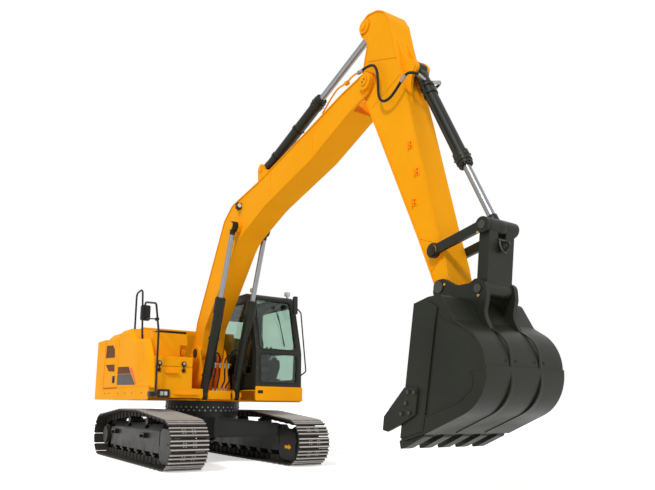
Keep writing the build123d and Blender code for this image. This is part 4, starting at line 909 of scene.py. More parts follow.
def makeHouseFront(spec):
    front = spec["skirt"]
    left, low, right, high = spec["lamp"]
    shell, lens = bmesh.new(), bmesh.new()
    box = corners(left, low, right, high)
    addRing(shell, box, 0.03, front, front + 0.018, 0.02, ahead)
    addPlate(shell, [roundOff(drawIn(box, 0.01), 0.015)], front, front + 0.006, ahead)
    for x in (left + spec["barsIn"], (left + right) / 2, right - spec["barsIn"]):
        bar = corners(x - 0.005, low + 0.01, x + 0.005, high - 0.01)
        addPlate(shell, [bar], front + 0.006, front + 0.024, ahead)
    addPlate(lens, [roundOff(drawIn(box, 0.034), 0.01)], front + 0.005, front + 0.013, ahead)
    makePiece("skirt_lamp_guard", shell, "house", "blackEnamel", 35, 0.002)
    makePiece("skirt_lamp_lens", lens, "house", "lampLens", 35, 0.002)
    left, rear, right, front = spec["tread"]
    tread, top, bar = bmesh.new(), spec["treadTop"], spec["treadBar"]
    for forward in (rear, (rear + front - bar) / 2, front - bar):
        addBox(tread, (left, forward, top), (right, forward + bar, top + 0.04))
    for x in (left, right - bar):
        addBox(tread, (x, rear, top), (x + bar, front, top + 0.03))
    makePiece("tank_tread", tread, "house", "rubber", 35, 0.003)
    shelf = bmesh.new()
    addPlate(shelf, [spec["shelf"]], spec["shelfUp"], spec["shelfUp"] + 0.012, level)
    makePiece("shelf_plate", shelf, "house", "yellowEnamel", 35, 0.002)
    left, low, right, high = spec["recess"]
    x, back, up = (left + right) / 2, spec["recessBack"], spec["fillerUp"]
    filler, dot = bmesh.new(), bmesh.new()
    addRound(filler, at(x, back + 0.003, up), at(x, back + 0.053, up), 0.036, 24)
    addBox(filler, (left + 0.01, back, low), (right - 0.01, back + 0.038, low + 0.04))
    makePiece("filler", filler, "house", "yellowEnamel", 35, 0.004)
    addRound(dot, at(x, back + 0.052, up), at(x, back + 0.057, up), 0.014, 16)
    makePiece("filler_button", dot, "house", "orangeVinyl", 35)
    face = spec["kickFace"]
    kick, grid = bmesh.new(), bmesh.new()
    addPlate(kick, [roundOff(corners(*spec["kickPlate"]), 0.02)], face - 0.0165, face, ahead)
    makePiece("cab_kick_plate", kick, "house", "yellowEnamel", 35, 0.004)
    addPlate(grid, [roundOff(corners(*spec["socket"]), 0.01)], face - 0.002, face + 0.005, ahead)
    makePiece("deck_socket", grid, "house", "rubber", 35, 0.002)
    spots = [(at(x, spec["footForward"], up), (0, -1, 0)) for x, up in spec["footBolts"]]
    addBolts("rail_foot_bolts", spots, "house", "pinSteel", 0.02)


# hoses from the swivel's manifold up between the boom cylinders and over to their barrels
frontHoses = {
    "radius": 0.0145, "forward": 0.73,
    # columns: x at the manifold, x at the fitting, its bulge between them, x and height where it meets the barrel
    "lines": ((-0.16, -0.116, -0.035, -0.232, 1.90), (-0.085, -0.031, -0.015, -0.228, 1.84),
              (0.0, 0.067, 0.02, 0.228, 1.83), (0.07, 0.137, 0.04, 0.232, 1.91)),
    # columns: low and high end, radius, sides
    "sleeves": ((1.60, 1.69, 0.021, 16), (1.625, 1.65, 0.026, 6)), "nipple": (1.20, 1.245, 0.022, 16),
    "manifold": ((-0.25, 0.67, 1.06), (0.17, 0.79, 1.21)), "rail": ((-0.20, 0.706, 1.655), (0.20, 0.718, 1.685)),
}


def makeFrontHoses(spec):
    silver, block = bmesh.new(), bmesh.new()
    back = spec["forward"]
    for number, (low, high, bulge, side, top) in enumerate(spec["lines"]):
        reach = 0.93 + (top - 1.86) * 0.35    # the barrel leans forward as it rises
        shape = bmesh.new()
        addHose(shape, [at(low, back + 0.02, 1.19), at(low, back + 0.03, 1.28),
                        at((low + high) / 2 + bulge, back + 0.05, 1.38), at(high, back, 1.50), at(high, back, 1.58),
                        at(high, back, 1.68), at(high, back + 0.01, 1.76),
                        at(high + (side - high) * 0.35, back + 0.08, top + 0.01),
                        at(side * 0.88, reach - 0.03, top + 0.005), at(side * 1.06, reach + 0.005, top - 0.03)],
                spec["radius"], 3)
        hose = makePiece("front_hose_" + str(number + 1), shape, None, "rubber")
        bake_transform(hose)
        for bottom, end, wide, sides in spec["sleeves"]:
            addRound(silver, at(high, back, bottom), at(high, back, end), wide, sides)
        bottom, end, wide, sides = spec["nipple"]
        addRound(silver, at(low, back + 0.02, bottom), at(low, back + 0.02, end), wide, sides)
    addBox(block, *spec["manifold"])
    addBox(block, *spec["rail"])
    makePiece("hose_fittings", silver, "house", "zincSteel", 35)
    makePiece("hose_manifold", block, "house", "yellowEnamel", 35, 0.006)


# slewing ring: two rows of bolts round it
ringBolts = {"radius": 0.665, "rows": (0.926, 0.871), "count": 44}


def makeRingBolts(spec):
    spots = []
    for row, up in enumerate(spec["rows"]):
        for i in range(spec["count"]):
            angle = math.tau * (i + row * 0.5) / spec["count"]
            facing = (math.cos(angle), math.sin(angle), 0)
            spots.append(((facing[0] * spec["radius"], facing[1] * spec["radius"], up), facing))
    addBolts("ring_bolts", spots, "undercarriage", "zincSteel", 0.02)


# cab: window seals, wiper, roof lamps, bolts and gutters
cab = {
    "frontFace": 1.245, "slopeFrom": 1.90, "slope": 0.2626,
    "frontWindow": corners(0.477, 1.925, 1.235, 2.845), "lowerWindow": corners(0.482, 1.35, 1.248, 1.867),
    "rightWindow": ((-0.38, 1.5), (1.12, 1.5), (1.15, 1.9), (0.93, 2.8), (-0.38, 2.8)),
    "wiperArm": ((0.865, 2.72), (0.944, 2.374), (0.97, 2.02)), "blade": ((0.925, 2.62), (0.985, 2.0)),
    "lamps": ((0.525, 0.88), (1.255, 0.88)), "lampHalf": 0.05, "roof": 2.95, "gutters": (0.398, 1.334),
    "bolts": ((0.42, 2.40), (0.42, 2.156), (0.42, 1.964), (0.42, 2.70), (0.42, 1.6)),
}


# across, height and depth in the cab's front, which leans back above its bend
def windscreen(a, b, t):
    slope = max(b - cab["slopeFrom"], 0) * cab["slope"]
    return Vector((a, -(cab["frontFace"] - slope + t), b))


def makeCabTrim(spec):
    seal = bmesh.new()
    for window, low, high, place in (("frontWindow", -0.012, 0.005, windscreen),
                                     ("lowerWindow", -0.012, 0.005, windscreen),
                                     ("rightWindow", 0.397, 0.414, sideways)):
        addRing(seal, drawIn(spec[window], -0.012), 0.034, low, high, 0.09, place)
    makePiece("window_seals", seal, "house", "rubber", 35, 0.002)
    wiper = bmesh.new()
    addTube(wiper, [windscreen(*spot, lift) for spot, lift in zip(spec["wiperArm"], (0.02, 0.03, 0.012))],
            0.006, 0.1, 2)
    addTube(wiper, [windscreen(*spot, 0.012) for spot in spec["blade"]], 0.008, 0.1, 1)
    addRound(wiper, windscreen(*spec["wiperArm"][0], 0.0), windscreen(*spec["wiperArm"][0], 0.03), 0.022, 16)
    makePiece("wiper", wiper, "house", "blackEnamel", 35)
    shell, lens = bmesh.new(), bmesh.new()
    low, half = spec["roof"], spec["lampHalf"]
    for x, forward in spec["lamps"]:
        addPlate(shell, [roundOff(corners(x - half, low + 0.03, x + half, low + 0.108), 0.015)],
                 forward - 0.045, forward + 0.006, ahead)
        addRound(lens, at(x, forward + 0.004, low + 0.069), at(x, forward + 0.018, low + 0.069), 0.036, 24)
        addBox(shell, (x - 0.02, forward - 0.03, low), (x + 0.02, forward, low + 0.035))
    thing = makePiece("roof_lamp_shells", shell, "house", "zincSteel", 35, 0.004)
    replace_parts(thing, "roof_lamps")
    makePiece("roof_lamp_lenses", lens, "house", "lampLens", 35, 0.002)
    spots = [(tuple(windscreen(x, z, 0.0)), (0, -1, 0.2 if z > 1.9 else 0)) for x, z in spec["bolts"]]
    addBolts("cab_bolts", spots, "house", "pinSteel", 0.022)
    gutter = bmesh.new()
    for x, end in zip(spec["gutters"], (0.40, 1.33)):
        addTube(gutter, [at(x, -0.44, low - 0.02), at(x, 0.86, low - 0.02), at(end, 0.965, low - 0.065)],
                0.012, 0.06, 2)
    addBox(gutter, (0.55, 0.2, low), (1.18, 0.22, low + 0.012))
    makePiece("cab_gutters", gutter, "house", "charcoalEnamel", 35)


# inside of the cab: padded seat on its bellows, consoles with levers, travel pedals, display, mat and linings; the
# dark linings under the roof are partly painted shade
cabInside = {
    # the pads' low and high corners, how square they are, and a sewn channel: axis, place and depth
    "pads": (("seat_cushion", (0.70, 0.10, 1.56), (1.13, 0.56, 1.68), 0.45, (1, -0.35, 0.05)),
             ("seat_back", (0.72, 0.02, 1.64), (1.11, 0.15, 2.25), 0.42, (2, 0.25, 0.06)),
             ("seat_headrest", (0.80, 0.03, 2.27), (1.03, 0.12, 2.45), 0.5, None)),
    "fill": 0.8, "bellows": ((0.79, 0.18, 1.3), (1.04, 0.48, 1.57)), "folds": 5, "foldDepth": 0.012,
    "headPosts": (0.86, 0.97), "consoles": (0.56, 1.19), "consoleTop": 1.83, "consoleHalf": 0.075,
    "travelLevers": (0.87, 0.96), "display": ((1.02, 1.96), (1.06, 2.0), (0.99, 2.2), (0.95, 2.16)),
    "displayWide": (0.46, 0.66), "cabinet": ((0.50, -0.47, 1.31), (1.25, -0.10, 1.78)),
    "mat": ((0.44, -0.46, 1.30), (1.29, 1.10, 1.312)),
    # linings: outlines of the side view with their low and high x, and the two rear posts; the roof and rear linings
    # are dark and hang low, partly a real headliner and partly painted shade under the roof
    "roofLiningAndShade": ((-0.45, 2.72), (0.60, 2.80), (0.86, 2.84), (0.86, 2.90), (-0.45, 2.90)),
    "roofSides": ((0.45, 0.60), (1.13, 1.285)),
    "rearLiningAndShade": ((-0.45, 2.70), (-0.10, 2.72), (-0.10, 2.90), (-0.45, 2.90)),
    "posts": (((1.12, -0.45, 1.32), (1.285, -0.29, 2.75)), ((0.445, -0.45, 1.32), (0.54, -0.37, 2.75))),
}


# a crowned pad: a rounded block whose sides pull in, with one sewn channel across
def addPad(shape, low, high, crown, channel=None, rows=28):
    middle = [(a + b) / 2 for a, b in zip(low, high)]
    half = [(b - a) / 2 for a, b in zip(low, high)]
    ring = []
    for i in range(rows + 1):
        v = math.pi * (i / rows - 0.5)
        ring.append([])
        for j in range(rows * 2):
            u = math.tau * j / (rows * 2)
            parts = [math.cos(v) * math.cos(u), math.cos(v) * math.sin(u), math.sin(v)]
            soft = [math.copysign(abs(p) ** crown, p) for p in parts]
            swell = 1 - 0.05 * abs(soft[2])
            spot = [m + h * p * (swell if k < 2 else 1) for k, (m, h, p) in enumerate(zip(middle, half, soft))]
            if channel is not None:
                axis, place, depth = channel
                dip = math.exp(-((soft[axis] - place) / 0.06) ** 2) * depth
                spot = [m + (s - m) * (1 - dip) for m, s in zip(middle, spot)]
            ring[-1].append(shape.verts.new(at(*spot)))
    for near, far in zip(ring, ring[1:]):
        for j in range(rows * 2):
            k = (j + 1) % (rows * 2)
            shape.faces.new((near[j], near[k], far[k], far[j]))


def makeCabInside(spec):
    for name, low, high, crown, channel in spec["pads"]:
        shape = bmesh.new()
        addPad(shape, low, high, crown, channel)
        pad = makePiece(name, shape, "house", "seatCloth", 60)
        if name == "seat_cushion":
            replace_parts(pad, "seat")
    shape = bmesh.new()
    low, high = spec["bellows"]
    fold = (high[2] - low[2]) / spec["folds"]
    for step in range(spec["folds"]):
        grow = spec["foldDepth"] * (step % 2)
        base = low[2] + fold * step
        addBox(shape, (low[0] - grow, low[1] - grow, base), (high[0] + grow, high[1] + grow, base + fold))
    for x in spec["headPosts"]:
        addRound(shape, at(x, 0.08, 2.2), at(x, 0.08, 2.3), 0.008, 10)
    makePiece("seat_base", shape, "house", "rubber", 35, 0.006)
    shape = bmesh.new()
    top, half = spec["consoleTop"], spec["consoleHalf"]
    console = [(-0.02, 1.32), (0.42, 1.32), (0.62, top - 0.16), (0.60, top - 0.02), (0.05, top), (-0.05, top - 0.1)]
    for x in spec["consoles"]:
        addSlab(shape, roundOff(console, 0.04), x - half, x + half)
        addTube(shape, [at(x, 0.53, top - 0.04), at(x, 0.54, top + 0.05), at(x, 0.57, top + 0.11)], 0.012, 0.04, 2)
        addPad(shape, (x - 0.026, 0.545, top + 0.07), (x + 0.026, 0.60, top + 0.2), 0.7, None, 8)
        addPad(shape, (x - 0.05, 0.48, top - 0.05), (x + 0.05, 0.58, top + 0.03), 0.6, None, 8)
    for x in spec["travelLevers"]:
        addTube(shape, [at(x, 0.92, 1.32), at(x, 0.90, 1.7), at(x, 0.80, 1.95)], 0.011, 0.1, 2)
        addPad(shape, (x - 0.02, 0.77, 1.93), (x + 0.02, 0.82, 2.02), 0.6, None, 8)
        addSlab(shape, [(0.90, 1.34), (1.08, 1.42), (1.07, 1.435), (0.89, 1.355)], x - 0.035, x + 0.035)
    addSlab(shape, roundOff(spec["display"], 0.01), *spec["displayWide"])
    addBox(shape, *spec["cabinet"])
    makePiece("cab_controls", shape, "house", "rubber", 35, 0.004)
    shape = bmesh.new()
    addBox(shape, *spec["mat"])
    makePiece("cab_mat", shape, "house", "rubber", 35, 0.002)
    # dark linings hung low under the roof: a headliner that also stands in for painted shade of the ceiling
    shape = bmesh.new()
    for low, high in spec["roofSides"]:
        addSlab(shape, roundOff(spec["roofLiningAndShade"], 0.03), low, high)
    addSlab(shape, roundOff(spec["rearLiningAndShade"], 0.03), spec["roofSides"][0][1], spec["roofSides"][1][0])
    for low, high in spec["posts"]:
        addBox(shape, low, high)
    makePiece("cab_lining", shape, "house", "castIron", 35, 0.01)


# mirrors: a glass and its rim on each, and the right one's back plate and clamp on the rail
mirrors = {
    # columns: left and right edge, the glass's forward, low and high edge
    "right": (-1.425, -1.265, 0.478, 2.35, 2.612), "left": (1.18, 1.262, 1.17, 2.60, 2.93),
    "edge": 0.012, "thick": 0.052, "clamp": ((-1.30, 0.93, 2.33), (-1.30, 0.99, 2.33)),
}


def makeMirrors(spec):
    lens, rim = bmesh.new(), bmesh.new()
    edge = spec["edge"]
    for side in ("right", "left"):
        x1, x2, rear, low, high = spec[side]
        face = corners(x1 + edge, low + edge, x2 - edge, high - edge)
        addPlate(lens, [roundOff(face, 0.022)], rear - 0.003, rear + 0.002, ahead)
        addRing(rim, drawIn(face, -0.006), edge, rear - 0.006, rear + 0.002, 0.026, ahead)
    x1, x2, rear, low, high = spec["right"]
    front = rear + spec["thick"]
    addPlate(rim, [roundOff(corners(x1 + 0.05, low + 0.04, x2 - 0.05, high - 0.03), 0.02)],
             front - 0.004, front + 0.014, ahead)
    addRound(rim, *(at(*spot) for spot in spec["clamp"]), 0.03, 20)
    makePiece("mirror_lenses", lens, "house", "mirrorGlass", 35)
    makePiece("mirror_rims", rim, "house", "rubber", 35, 0.002)


# weld beads across both webs of a beam, and one round each pin boss
def addWelds(shape, beam, spec):
    for start, end in spec["welds"]:
        for x in (-spec["weldSide"], spec["weldSide"]):
            addBead(shape, at(x, *onBeam(beam, *start)), at(x, *onBeam(beam, *end)), 0.005)
    for along, up, radius in spec["bosses"]:
        middle = Vector(onBeam(beam, along, up))
        angles = [k * math.tau / 40 for k in range(41)]
        spots = [middle + radius * Vector((math.cos(angle), math.sin(angle))) for angle in angles]
        for x in (-spec["bossSide"], spec["bossSide"]):
            for a, b in zip(spots, spots[1:]):
                addBead(shape, at(x, *a), at(x, *b), spec["bossBead"])


# boom: pipes and clamps on its back, weld beads and the work lamp
boomTrim = {
    "pipes": (-0.13, -0.06, 0.06, 0.13), "pipeRadius": 0.013, "pipeLift": 0.02,
    # along and up on the boom, over its back plate
    "run": ((0.55, 0.708), (1.60, 1.238), (1.90, 1.380), (2.14, 1.418), (2.38, 1.395), (2.75, 1.252), (2.93, 1.172)),
    "clamps": ((1.15, 1.012), (1.70, 1.290), (2.60, 1.318)), "clampLift": 0.008,
    "clampPlate": (-0.165, -0.012, 0.165, 0.05), "clampLean": (0.84, 0.54),
    "welds": (((1.32, 0.50), (1.15, 0.985)), ((2.10, 0.79), (2.13, 1.375)), ((3.30, 0.60), (3.52, 0.945)),
              ((4.40, 0.175), (4.62, 0.56))),
    # columns: along, up, radius
    "bosses": ((5.70, 0.0, 0.113), (0.0, 0.0, 0.118), (2.307, 0.911, 0.098)),
    "weldSide": 0.197, "bossSide": 0.2, "bossBead": 0.005, "lamp": (-0.235, 1.64, 4.245),
}


def makeBoomTrim(spec):
    beam = beams["boom"]
    shape = bmesh.new()
    for x in spec["pipes"]:
        addTube(shape, [at(x, *onBeam(beam, along, up + spec["pipeLift"])) for along, up in spec["run"]],
                spec["pipeRadius"], 0.12, 2)
    cosine, sine = spec["clampLean"]
    for along, up in spec["clamps"]:
        forward, height = onBeam(beam, along, up + spec["clampLift"])

        def onBack(a, b, t, forward=forward, height=height):
            return Vector((a, -(forward + t * cosine - b * sine), height + b * cosine + t * sine))

        addPlate(shape, [corners(*spec["clampPlate"])], -0.02, 0.02, onBack)
    makePiece("boom_pipes", shape, "boom", "yellowEnamel", 35, 0.0)
    shape = bmesh.new()
    addWelds(shape, beam, spec)
    makePiece("boom_welds", shape, "boom", "yellowEnamel", 60)
    x, forward, height = spec["lamp"]
    shape, lens = bmesh.new(), bmesh.new()
    addPlate(shape, [roundOff(corners(x - 0.055, height - 0.05, x + 0.035, height + 0.05), 0.015)],
             forward + 0.02, forward + 0.085, ahead)
    addBox(shape, (x, forward - 0.05, height - 0.015), (x + 0.03, forward + 0.03, height + 0.015))
    addBox(shape, (x + 0.03, forward - 0.08, height - 0.04), (x + 0.042, forward + 0.05, height + 0.04))
    addRound(lens, at(x - 0.01, forward + 0.08, height), at(x - 0.01, forward + 0.095, height), 0.036, 24)
    makePiece("boom_lamp", shape, "boom", "blackEnamel", 35, 0.003)
    makePiece("boom_lamp_lens", lens, "boom", "lampLens", 35, 0.002)


# the hoses that loop over the joint, from the boom's pipes to the bucket cylinder's ports
loopHose = {
    "x": 0.245, "portX": 0.16, "radius": 0.0165, "fitting": 0.022, "web": 0.20, "pipeRadius": 0.012,
    "points": ((4.90, 5.115), (4.959, 5.112), (5.060, 5.118), (5.190, 5.085), (5.255, 4.970), (5.262, 4.800),
               (5.270, 4.610), (5.350, 4.520), (5.474, 4.515), (5.600, 4.590), (5.700, 4.668), (5.800, 4.700),
               (5.860, 4.660)),
    "blend": ((5.06, 5.08), (5.262, 4.80)), "sleeve": (4.885, 4.99, 5.113), "nut": (4.90, 4.925, 5.113),
    "pipe": ((4.05, 4.93), (4.294, 5.035), (4.437, 5.109), (4.644, 5.105), (4.794, 5.146), (4.91, 5.118)),
    "clamp": ((4.60, 5.085), (4.66, 5.125)),
}


def makeLoopHoses(spec):
    wide = spec["fitting"]
    for side, name in ((-1, "right"), (1, "left")):
        x, web = side * spec["x"], side * spec["web"]
        spots = [at(x, *spot) for spot in spec["points"][:-1]] + [at(side * spec["portX"], *spec["points"][-1])]
        shape = bmesh.new()
        addHose(shape, spots, spec["radius"], 4)
        hose = makePiece("loop_hose_" + name, shape, None, "rubber", 60)
        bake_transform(hose)
        shape = bmesh.new()
        for (rear, front, up), radius, sides in ((spec["sleeve"], wide, 16), (spec["nut"], wide + 0.006, 6)):
            addRound(shape, at(x, rear, up), at(x, front, up), radius, sides)
        makePiece("loop_fitting_" + name, shape, "boom", "zincSteel", 35)
        shape = bmesh.new()
        addRound(shape, at(x, 5.66, 4.638), at(x, 5.735, 4.685), wide, 16)
        addRound(shape, at(side * 0.17, 5.85, 4.662), at(side * 0.055, 5.84, 4.63), wide, 16)
        makePiece("loop_end_" + name, shape, "arm", "zincSteel", 35)
        shape = bmesh.new()
        addTube(shape, [at(web, *spec["pipe"][0])] + [at(x - side * 0.01, *spot) for spot in spec["pipe"][1:]],
                spec["pipeRadius"], 0.05, 2)
        low, high = sorted((web, side * 0.25))
        addBox(shape, (low, *spec["clamp"][0]), (high, *spec["clamp"][1]))
        makePiece("boom_side_pipe_" + name, shape, "boom", "yellowEnamel", 35)


# arm: weld beads, and the hose brackets with their painted bolts
armTrim = {
    "welds": (((-0.28, 0.10), (0.10, 0.50)), ((0.35, -0.10), (0.35, 0.47)), ((2.33, -0.08), (2.55, 0.15)),
              ((2.75, -0.08), (2.70, 0.12))),
    "bosses": ((-0.777, 0.241, 0.094), (0.0, 0.0, 0.128), (3.0, 0.0, 0.088)),
    "weldSide": 0.159, "bossSide": 0.168, "bossBead": 0.004,
    "web": 0.158, "brackets": ((1.27, 0.25), (1.623, 0.205), (1.92, 0.031)), "bracketHalf": 0.045,
}


def makeArmTrim(spec):
    beam = beams["arm"]
    shape = bmesh.new()
    addWelds(shape, beam, spec)
    makePiece("arm_welds", shape, "arm", "yellowEnamel", 60)
    shape = bmesh.new()
    spots = []
    web, half = spec["web"], spec["bracketHalf"]
    for along, up in spec["brackets"]:
        forward, height = onBeam(beam, along, up)
        rear = forward - 0.03
        for side in (-1, 1):
            for inner, outer, front in ((web, web + 0.03, forward - 0.022),
                                        (web - 0.002, web + 0.008, forward + 0.035)):
                low, high = sorted((side * inner, side * outer))
                addBox(shape, (low, rear, height - half), (high, front, height + half))
            spots += [(at(side * (web + 0.008), forward + 0.008, height + lift), (side, 0, 0))
                      for lift in (-0.02, 0.022)]
    addBolts("arm_bracket_bolts", spots, "arm", "orangeVinyl", 0.018)
    makePiece("arm_brackets", shape, "arm", "yellowEnamel", 35, 0.002)


# cylinders: clamps round the barrels, their pipes, glands and gland bolts
cylinderTrim = (
    # columns: beam, body, x, barrel radius, the gland's end and the clamps along it, side of its pipe
    ("bucketCylinder", "bucket_cylinder_barrel", 0.0, 0.070, 1.520, (0.30, 0.42), -1),
    ("armCylinder", "arm_cylinder_barrel", 0.0, 0.080, 1.670, (0.35, 1.0), 1),
    ("boomCylinder", "boom_cylinder_barrels", -0.305, 0.074, 1.705, (0.35, 1.0), 1),
    ("boomCylinder", "boom_cylinder_barrels", 0.305, 0.074, 1.705, (0.35, 1.0), -1),
)


def makeCylinderTrim(rows):
    for number, (name, body, x, radius, gland, clamps, pipeSide) in enumerate(rows):
        beam = beams[name]
        shape = bmesh.new()
        turn = math.radians(beam["angle"])
        along = Vector(at(0, math.cos(turn), math.sin(turn)))
        out = Vector(at(0, -math.sin(turn), math.cos(turn)))
        wide = Vector((1, 0, 0))
        base = Vector(at(x, *beam["pin"]))
        for clamp in clamps:
            spot = base + along * clamp
            addRound(shape, spot - along * 0.02, spot + along * 0.02, radius + 0.012, 28)
            lug = spot + wide * pipeSide * (radius + 0.02)
            addRound(shape, lug - out * 0.02, lug + out * 0.02, 0.016, 10)
        if name == "boomCylinder":
            addRound(shape, base + along * (gland - 0.27), base + along * (gland - 0.012), radius + 0.017, 40)
        run = wide * pipeSide * (radius + 0.017)
        pipe = [base + along * 0.16 + out * radius * 0.9, base + along * 0.22 + run * 0.9 + out * radius * 0.5,
                base + along * 0.32 + run, base + along * (gland - 0.24) + run,
                base + along * (gland - 0.13) + wide * pipeSide * radius * 0.9]
        addTube(shape, pipe, 0.0125, 0.05, 2)
        makePiece("cylinder_pipe_" + str(number + 1), shape, body, "charcoalEnamel", 35)
        spots = []
        for k in range(12):
            angle = math.tau * k / 12
            ring = out * math.cos(angle) + wide * math.sin(angle)
            spots.append((tuple(base + along * gland + ring * (radius - 0.010)), tuple(along)))
            if name != "boomCylinder":
                spots.append((tuple(base + along * (gland - 0.105) + ring * (radius + 0.0135)), tuple(ring)))
        addBolts("gland_bolts_" + str(number + 1), spots, body, "pinSteel", 0.018)


# rods: chromed bars with darker collars and eyes, in place of the plain ones
rods = (
    # columns: beam, body, node, x places, run to the eye, rod length, rod radius, eye radius, half its width
    ("boomCylinder", "boom_cylinder_rods", (-0.305, 0.305), 2.9238, 1.711, 0.043, 0.082, 0.048),
    ("armCylinder", "arm_cylinder_rod", (0.0,), 2.928, 1.865, 0.048, 0.088, 0.060),
    ("bucketCylinder", "bucket_cylinder_rod", (0.0,), 2.352, 1.643, 0.040, 0.080, 0.055),
)


def makeRods(rows):
    for name, node, places, run, length, radius, eye, half in rows:
        beam = beams[name]
        bars, ends = bmesh.new(), bmesh.new()
        for x in places:
            start, stop, collar, middle = (at(x, *onBeam(beam, along, 0)) for along in (
                run - length, run - eye - 0.055, run - eye - 0.06, run - eye * 0.6))
            addRound(bars, start, stop, radius, 48)
            addRound(ends, collar, middle, min(radius + 0.012, half - 0.002), 40)
            forward, height = onBeam(beam, run, 0)
            addRound(ends, at(x - half, forward, height), at(x + half, forward, height), eye, 48)
        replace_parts(makePiece(node + "_bar", bars, node, "chromedSteel", 50), node)
        makePiece(node + "_eye", ends, node, "charcoalEnamel", 50, 0.003)


# bucket: bands round the back, weld beads, cutter bolts, plugs and the linkage's grease nipples
bucketTrim = {
    # forward and up from the bucket's pin; the sides lean in behind the lip
    "half": 0.6, "lip": -0.19, "lean": 0.076, "bandHalf": 0.018, "bands": (-0.2, 0.2), "bandThick": (0.019, 0.008),
    "back": ((0.14, -1.412), (0.797, -1.133), (0.797, -0.597), (0.53, -0.43)), "backRadius": 0.40, "seam": -0.83,
    "heelWeld": ((0.64, -0.88), (0.668, -0.955), (0.64, -1.04), (0.50, -1.145), (0.11, -1.28)),
    "edgeWeld": ((0.30, -0.28), (0.276, -0.39), (0.097, -1.39)),
    "beadWeld": ((0.33, -0.36), (0.45, -0.43), (0.62, -0.52), (0.75, -0.66), (0.772, -0.80), (0.765, -0.9),
                 (0.70, -1.10), (0.52, -1.22)),
    "cutterBolts": ((0.035, -1.055), (-0.045, -1.050), (-0.075, -1.155), (-0.135, -1.255), (-0.035, -1.245)),
    "plugs": (-0.26, -0.13, 0.13, 0.26), "plugsAt": (0.79, -0.78), "nipples": ((0.085, 0.015), (0.50, -0.155)),
}


def makeBucketTrim(spec):
    forward, height = beams["bucket"]["pin"]
    path = roundOff([(forward + a, height + b) for a, b in spec["back"]], spec["backRadius"], 14, False)
    seam = (forward + spec["back"][1][0], height + spec["seam"])
    low = [p for p in path if p[1] < seam[1]] + [seam]
    high = [seam] + [p for p in path if p[1] > seam[1]]
    shape = bmesh.new()
    for x in spec["bands"]:
        for line, thick in zip((low, high), spec["bandThick"]):
            addStrip(shape, line, x - spec["bandHalf"], x + spec["bandHalf"], thick)
    # the lower bands end flush with the back plate, which is the machine's foremost face
    for spot in shape.verts:
        spot.co.y = max(spot.co.y, cadLow[1] + 0.0003)
    makePiece("bucket_bands", shape, "bucket", "charcoalEnamel", 30, 0.002)
    shape = bmesh.new()
    for side in (-1, 1):
        for rows, proud in ((spec["heelWeld"], 0.010), (spec["edgeWeld"], 0.012), (spec["beadWeld"], 0.0)):
            line = []
            for a, b in roundOff(rows, 0.08, 4, False):
                x = spec["half"] + proud - (a - spec["lip"]) * spec["lean"]
                line.append(at(side * x, forward + a, height + b))
            for a, b in zip(line, line[1:]):
                addBead(shape, a, b, 0.007)
    makePiece("bucket_welds", shape, "bucket", "charcoalEnamel", 60)
    spots = []
    for a, b in spec["cutterBolts"]:
        x = spec["half"] + 0.037 - (a - spec["lip"]) * spec["lean"]
        spots += [(at(side * x, forward + a, height + b), (side, 0, 0)) for side in (-1, 1)]
    addBolts("cutter_bolts", spots, "bucket", "pinSteel", 0.034)
    shape = bmesh.new()
    out, up = spec["plugsAt"]
    for x in spec["plugs"]:
        addRound(shape, at(x, forward + out, height + up), at(x, forward + out + 0.009, height + up), 0.013, 14)
    makePiece("bucket_plugs", shape, "bucket", "rubber", 35)
    nipples = [(at(side * 0.2275, forward + a, height + b), (side, 0, 0)) for a, b in spec["nipples"]
               for side in (-1, 1)]
    addBolts("bucket_nipples", nipples, "bucket", "brass", 0.022)
    rocker = beams["rocker"]
    spots = [(at(side * 0.222, *onBeam(rocker, 0.60, -0.055)), (side, 0, -0.4)) for side in (-1, 1)]
    addBolts("rocker_nipples", spots, "rockers", "brass", 0.02)


# link: the shackle under its top pin
shackle = {"top": (6.73, 2.56), "half": 0.038, "drop": 0.13, "radius": 0.011}


def makeShackle(spec):
    forward, height = spec["top"]
    half, drop = spec["half"], spec["drop"]
    shape = bmesh.new()
    bow = ((-half, 0, 0), (-half * 1.15, 0.02, -drop * 0.7), (0, 0.03, -drop), (half * 1.15, 0.02, -drop * 0.7),
           (half, 0, 0))
    addTube(shape, [at(x, forward + out, height + up) for x, out, up in bow], spec["radius"], 0.035, 3)
    addRound(shape, at(-half - 0.02, forward, height), at(half + 0.02, forward, height), spec["radius"] + 0.003, 14)
    makePiece("shackle", shape, "link", "pinSteel", 60)


# pin caps: yellow ones on the boom rods' eyes and the arm's top eye, dark ones on the rockers' feet, and cap bolts
pinTrim = {"rodEye": (1.649, 3.893), "boltAngles": (0.6, 3.74), "boltRing": 0.022, "armEye": (-0.777, 0.241)}


def makePinTrim(spec):
    shape, caps, dark = bmesh.new(), bmesh.new(), bmesh.new()
    tip = Vector(beams["arm"]["pin"])
    eye, foot = onBeam(beams["arm"], *spec["armEye"]), beams["rocker"]["pin"]
    spots = []
    for side in (-1, 1):
        for made, (forward, height), low, high, radius, sides in (
                (shape, spec["rodEye"], 0.352, 0.366, 0.066, 32), (caps, eye, 0.178, 0.196, 0.046, 28),
                (dark, foot, 0.2225, 0.240, 0.060, 32), (dark, foot, 0.240, 0.244, 0.030, 24)):
            addRound(made, at(side * low, forward, height), at(side * high, forward, height), radius, sides)
        for angle in spec["boltAngles"]:
            spot = tip + spec["boltRing"] * Vector((math.cos(angle), math.sin(angle)))
            spots.append((at(side * 0.255, *spot), (side, 0, 0)))
    makePiece("boom_rod_caps", shape, "boom_cylinder_rods", "yellowEnamel", 35, 0.004)
    addBolts("boom_tip_cap_bolts", spots, "boom", "pinSteel", 0.016)
    makePiece("arm_eye_caps", caps, "arm", "yellowEnamel", 35, 0.003)
    makePiece("rocker_foot_caps", dark, "arm", "charcoalEnamel", 35, 0.003)


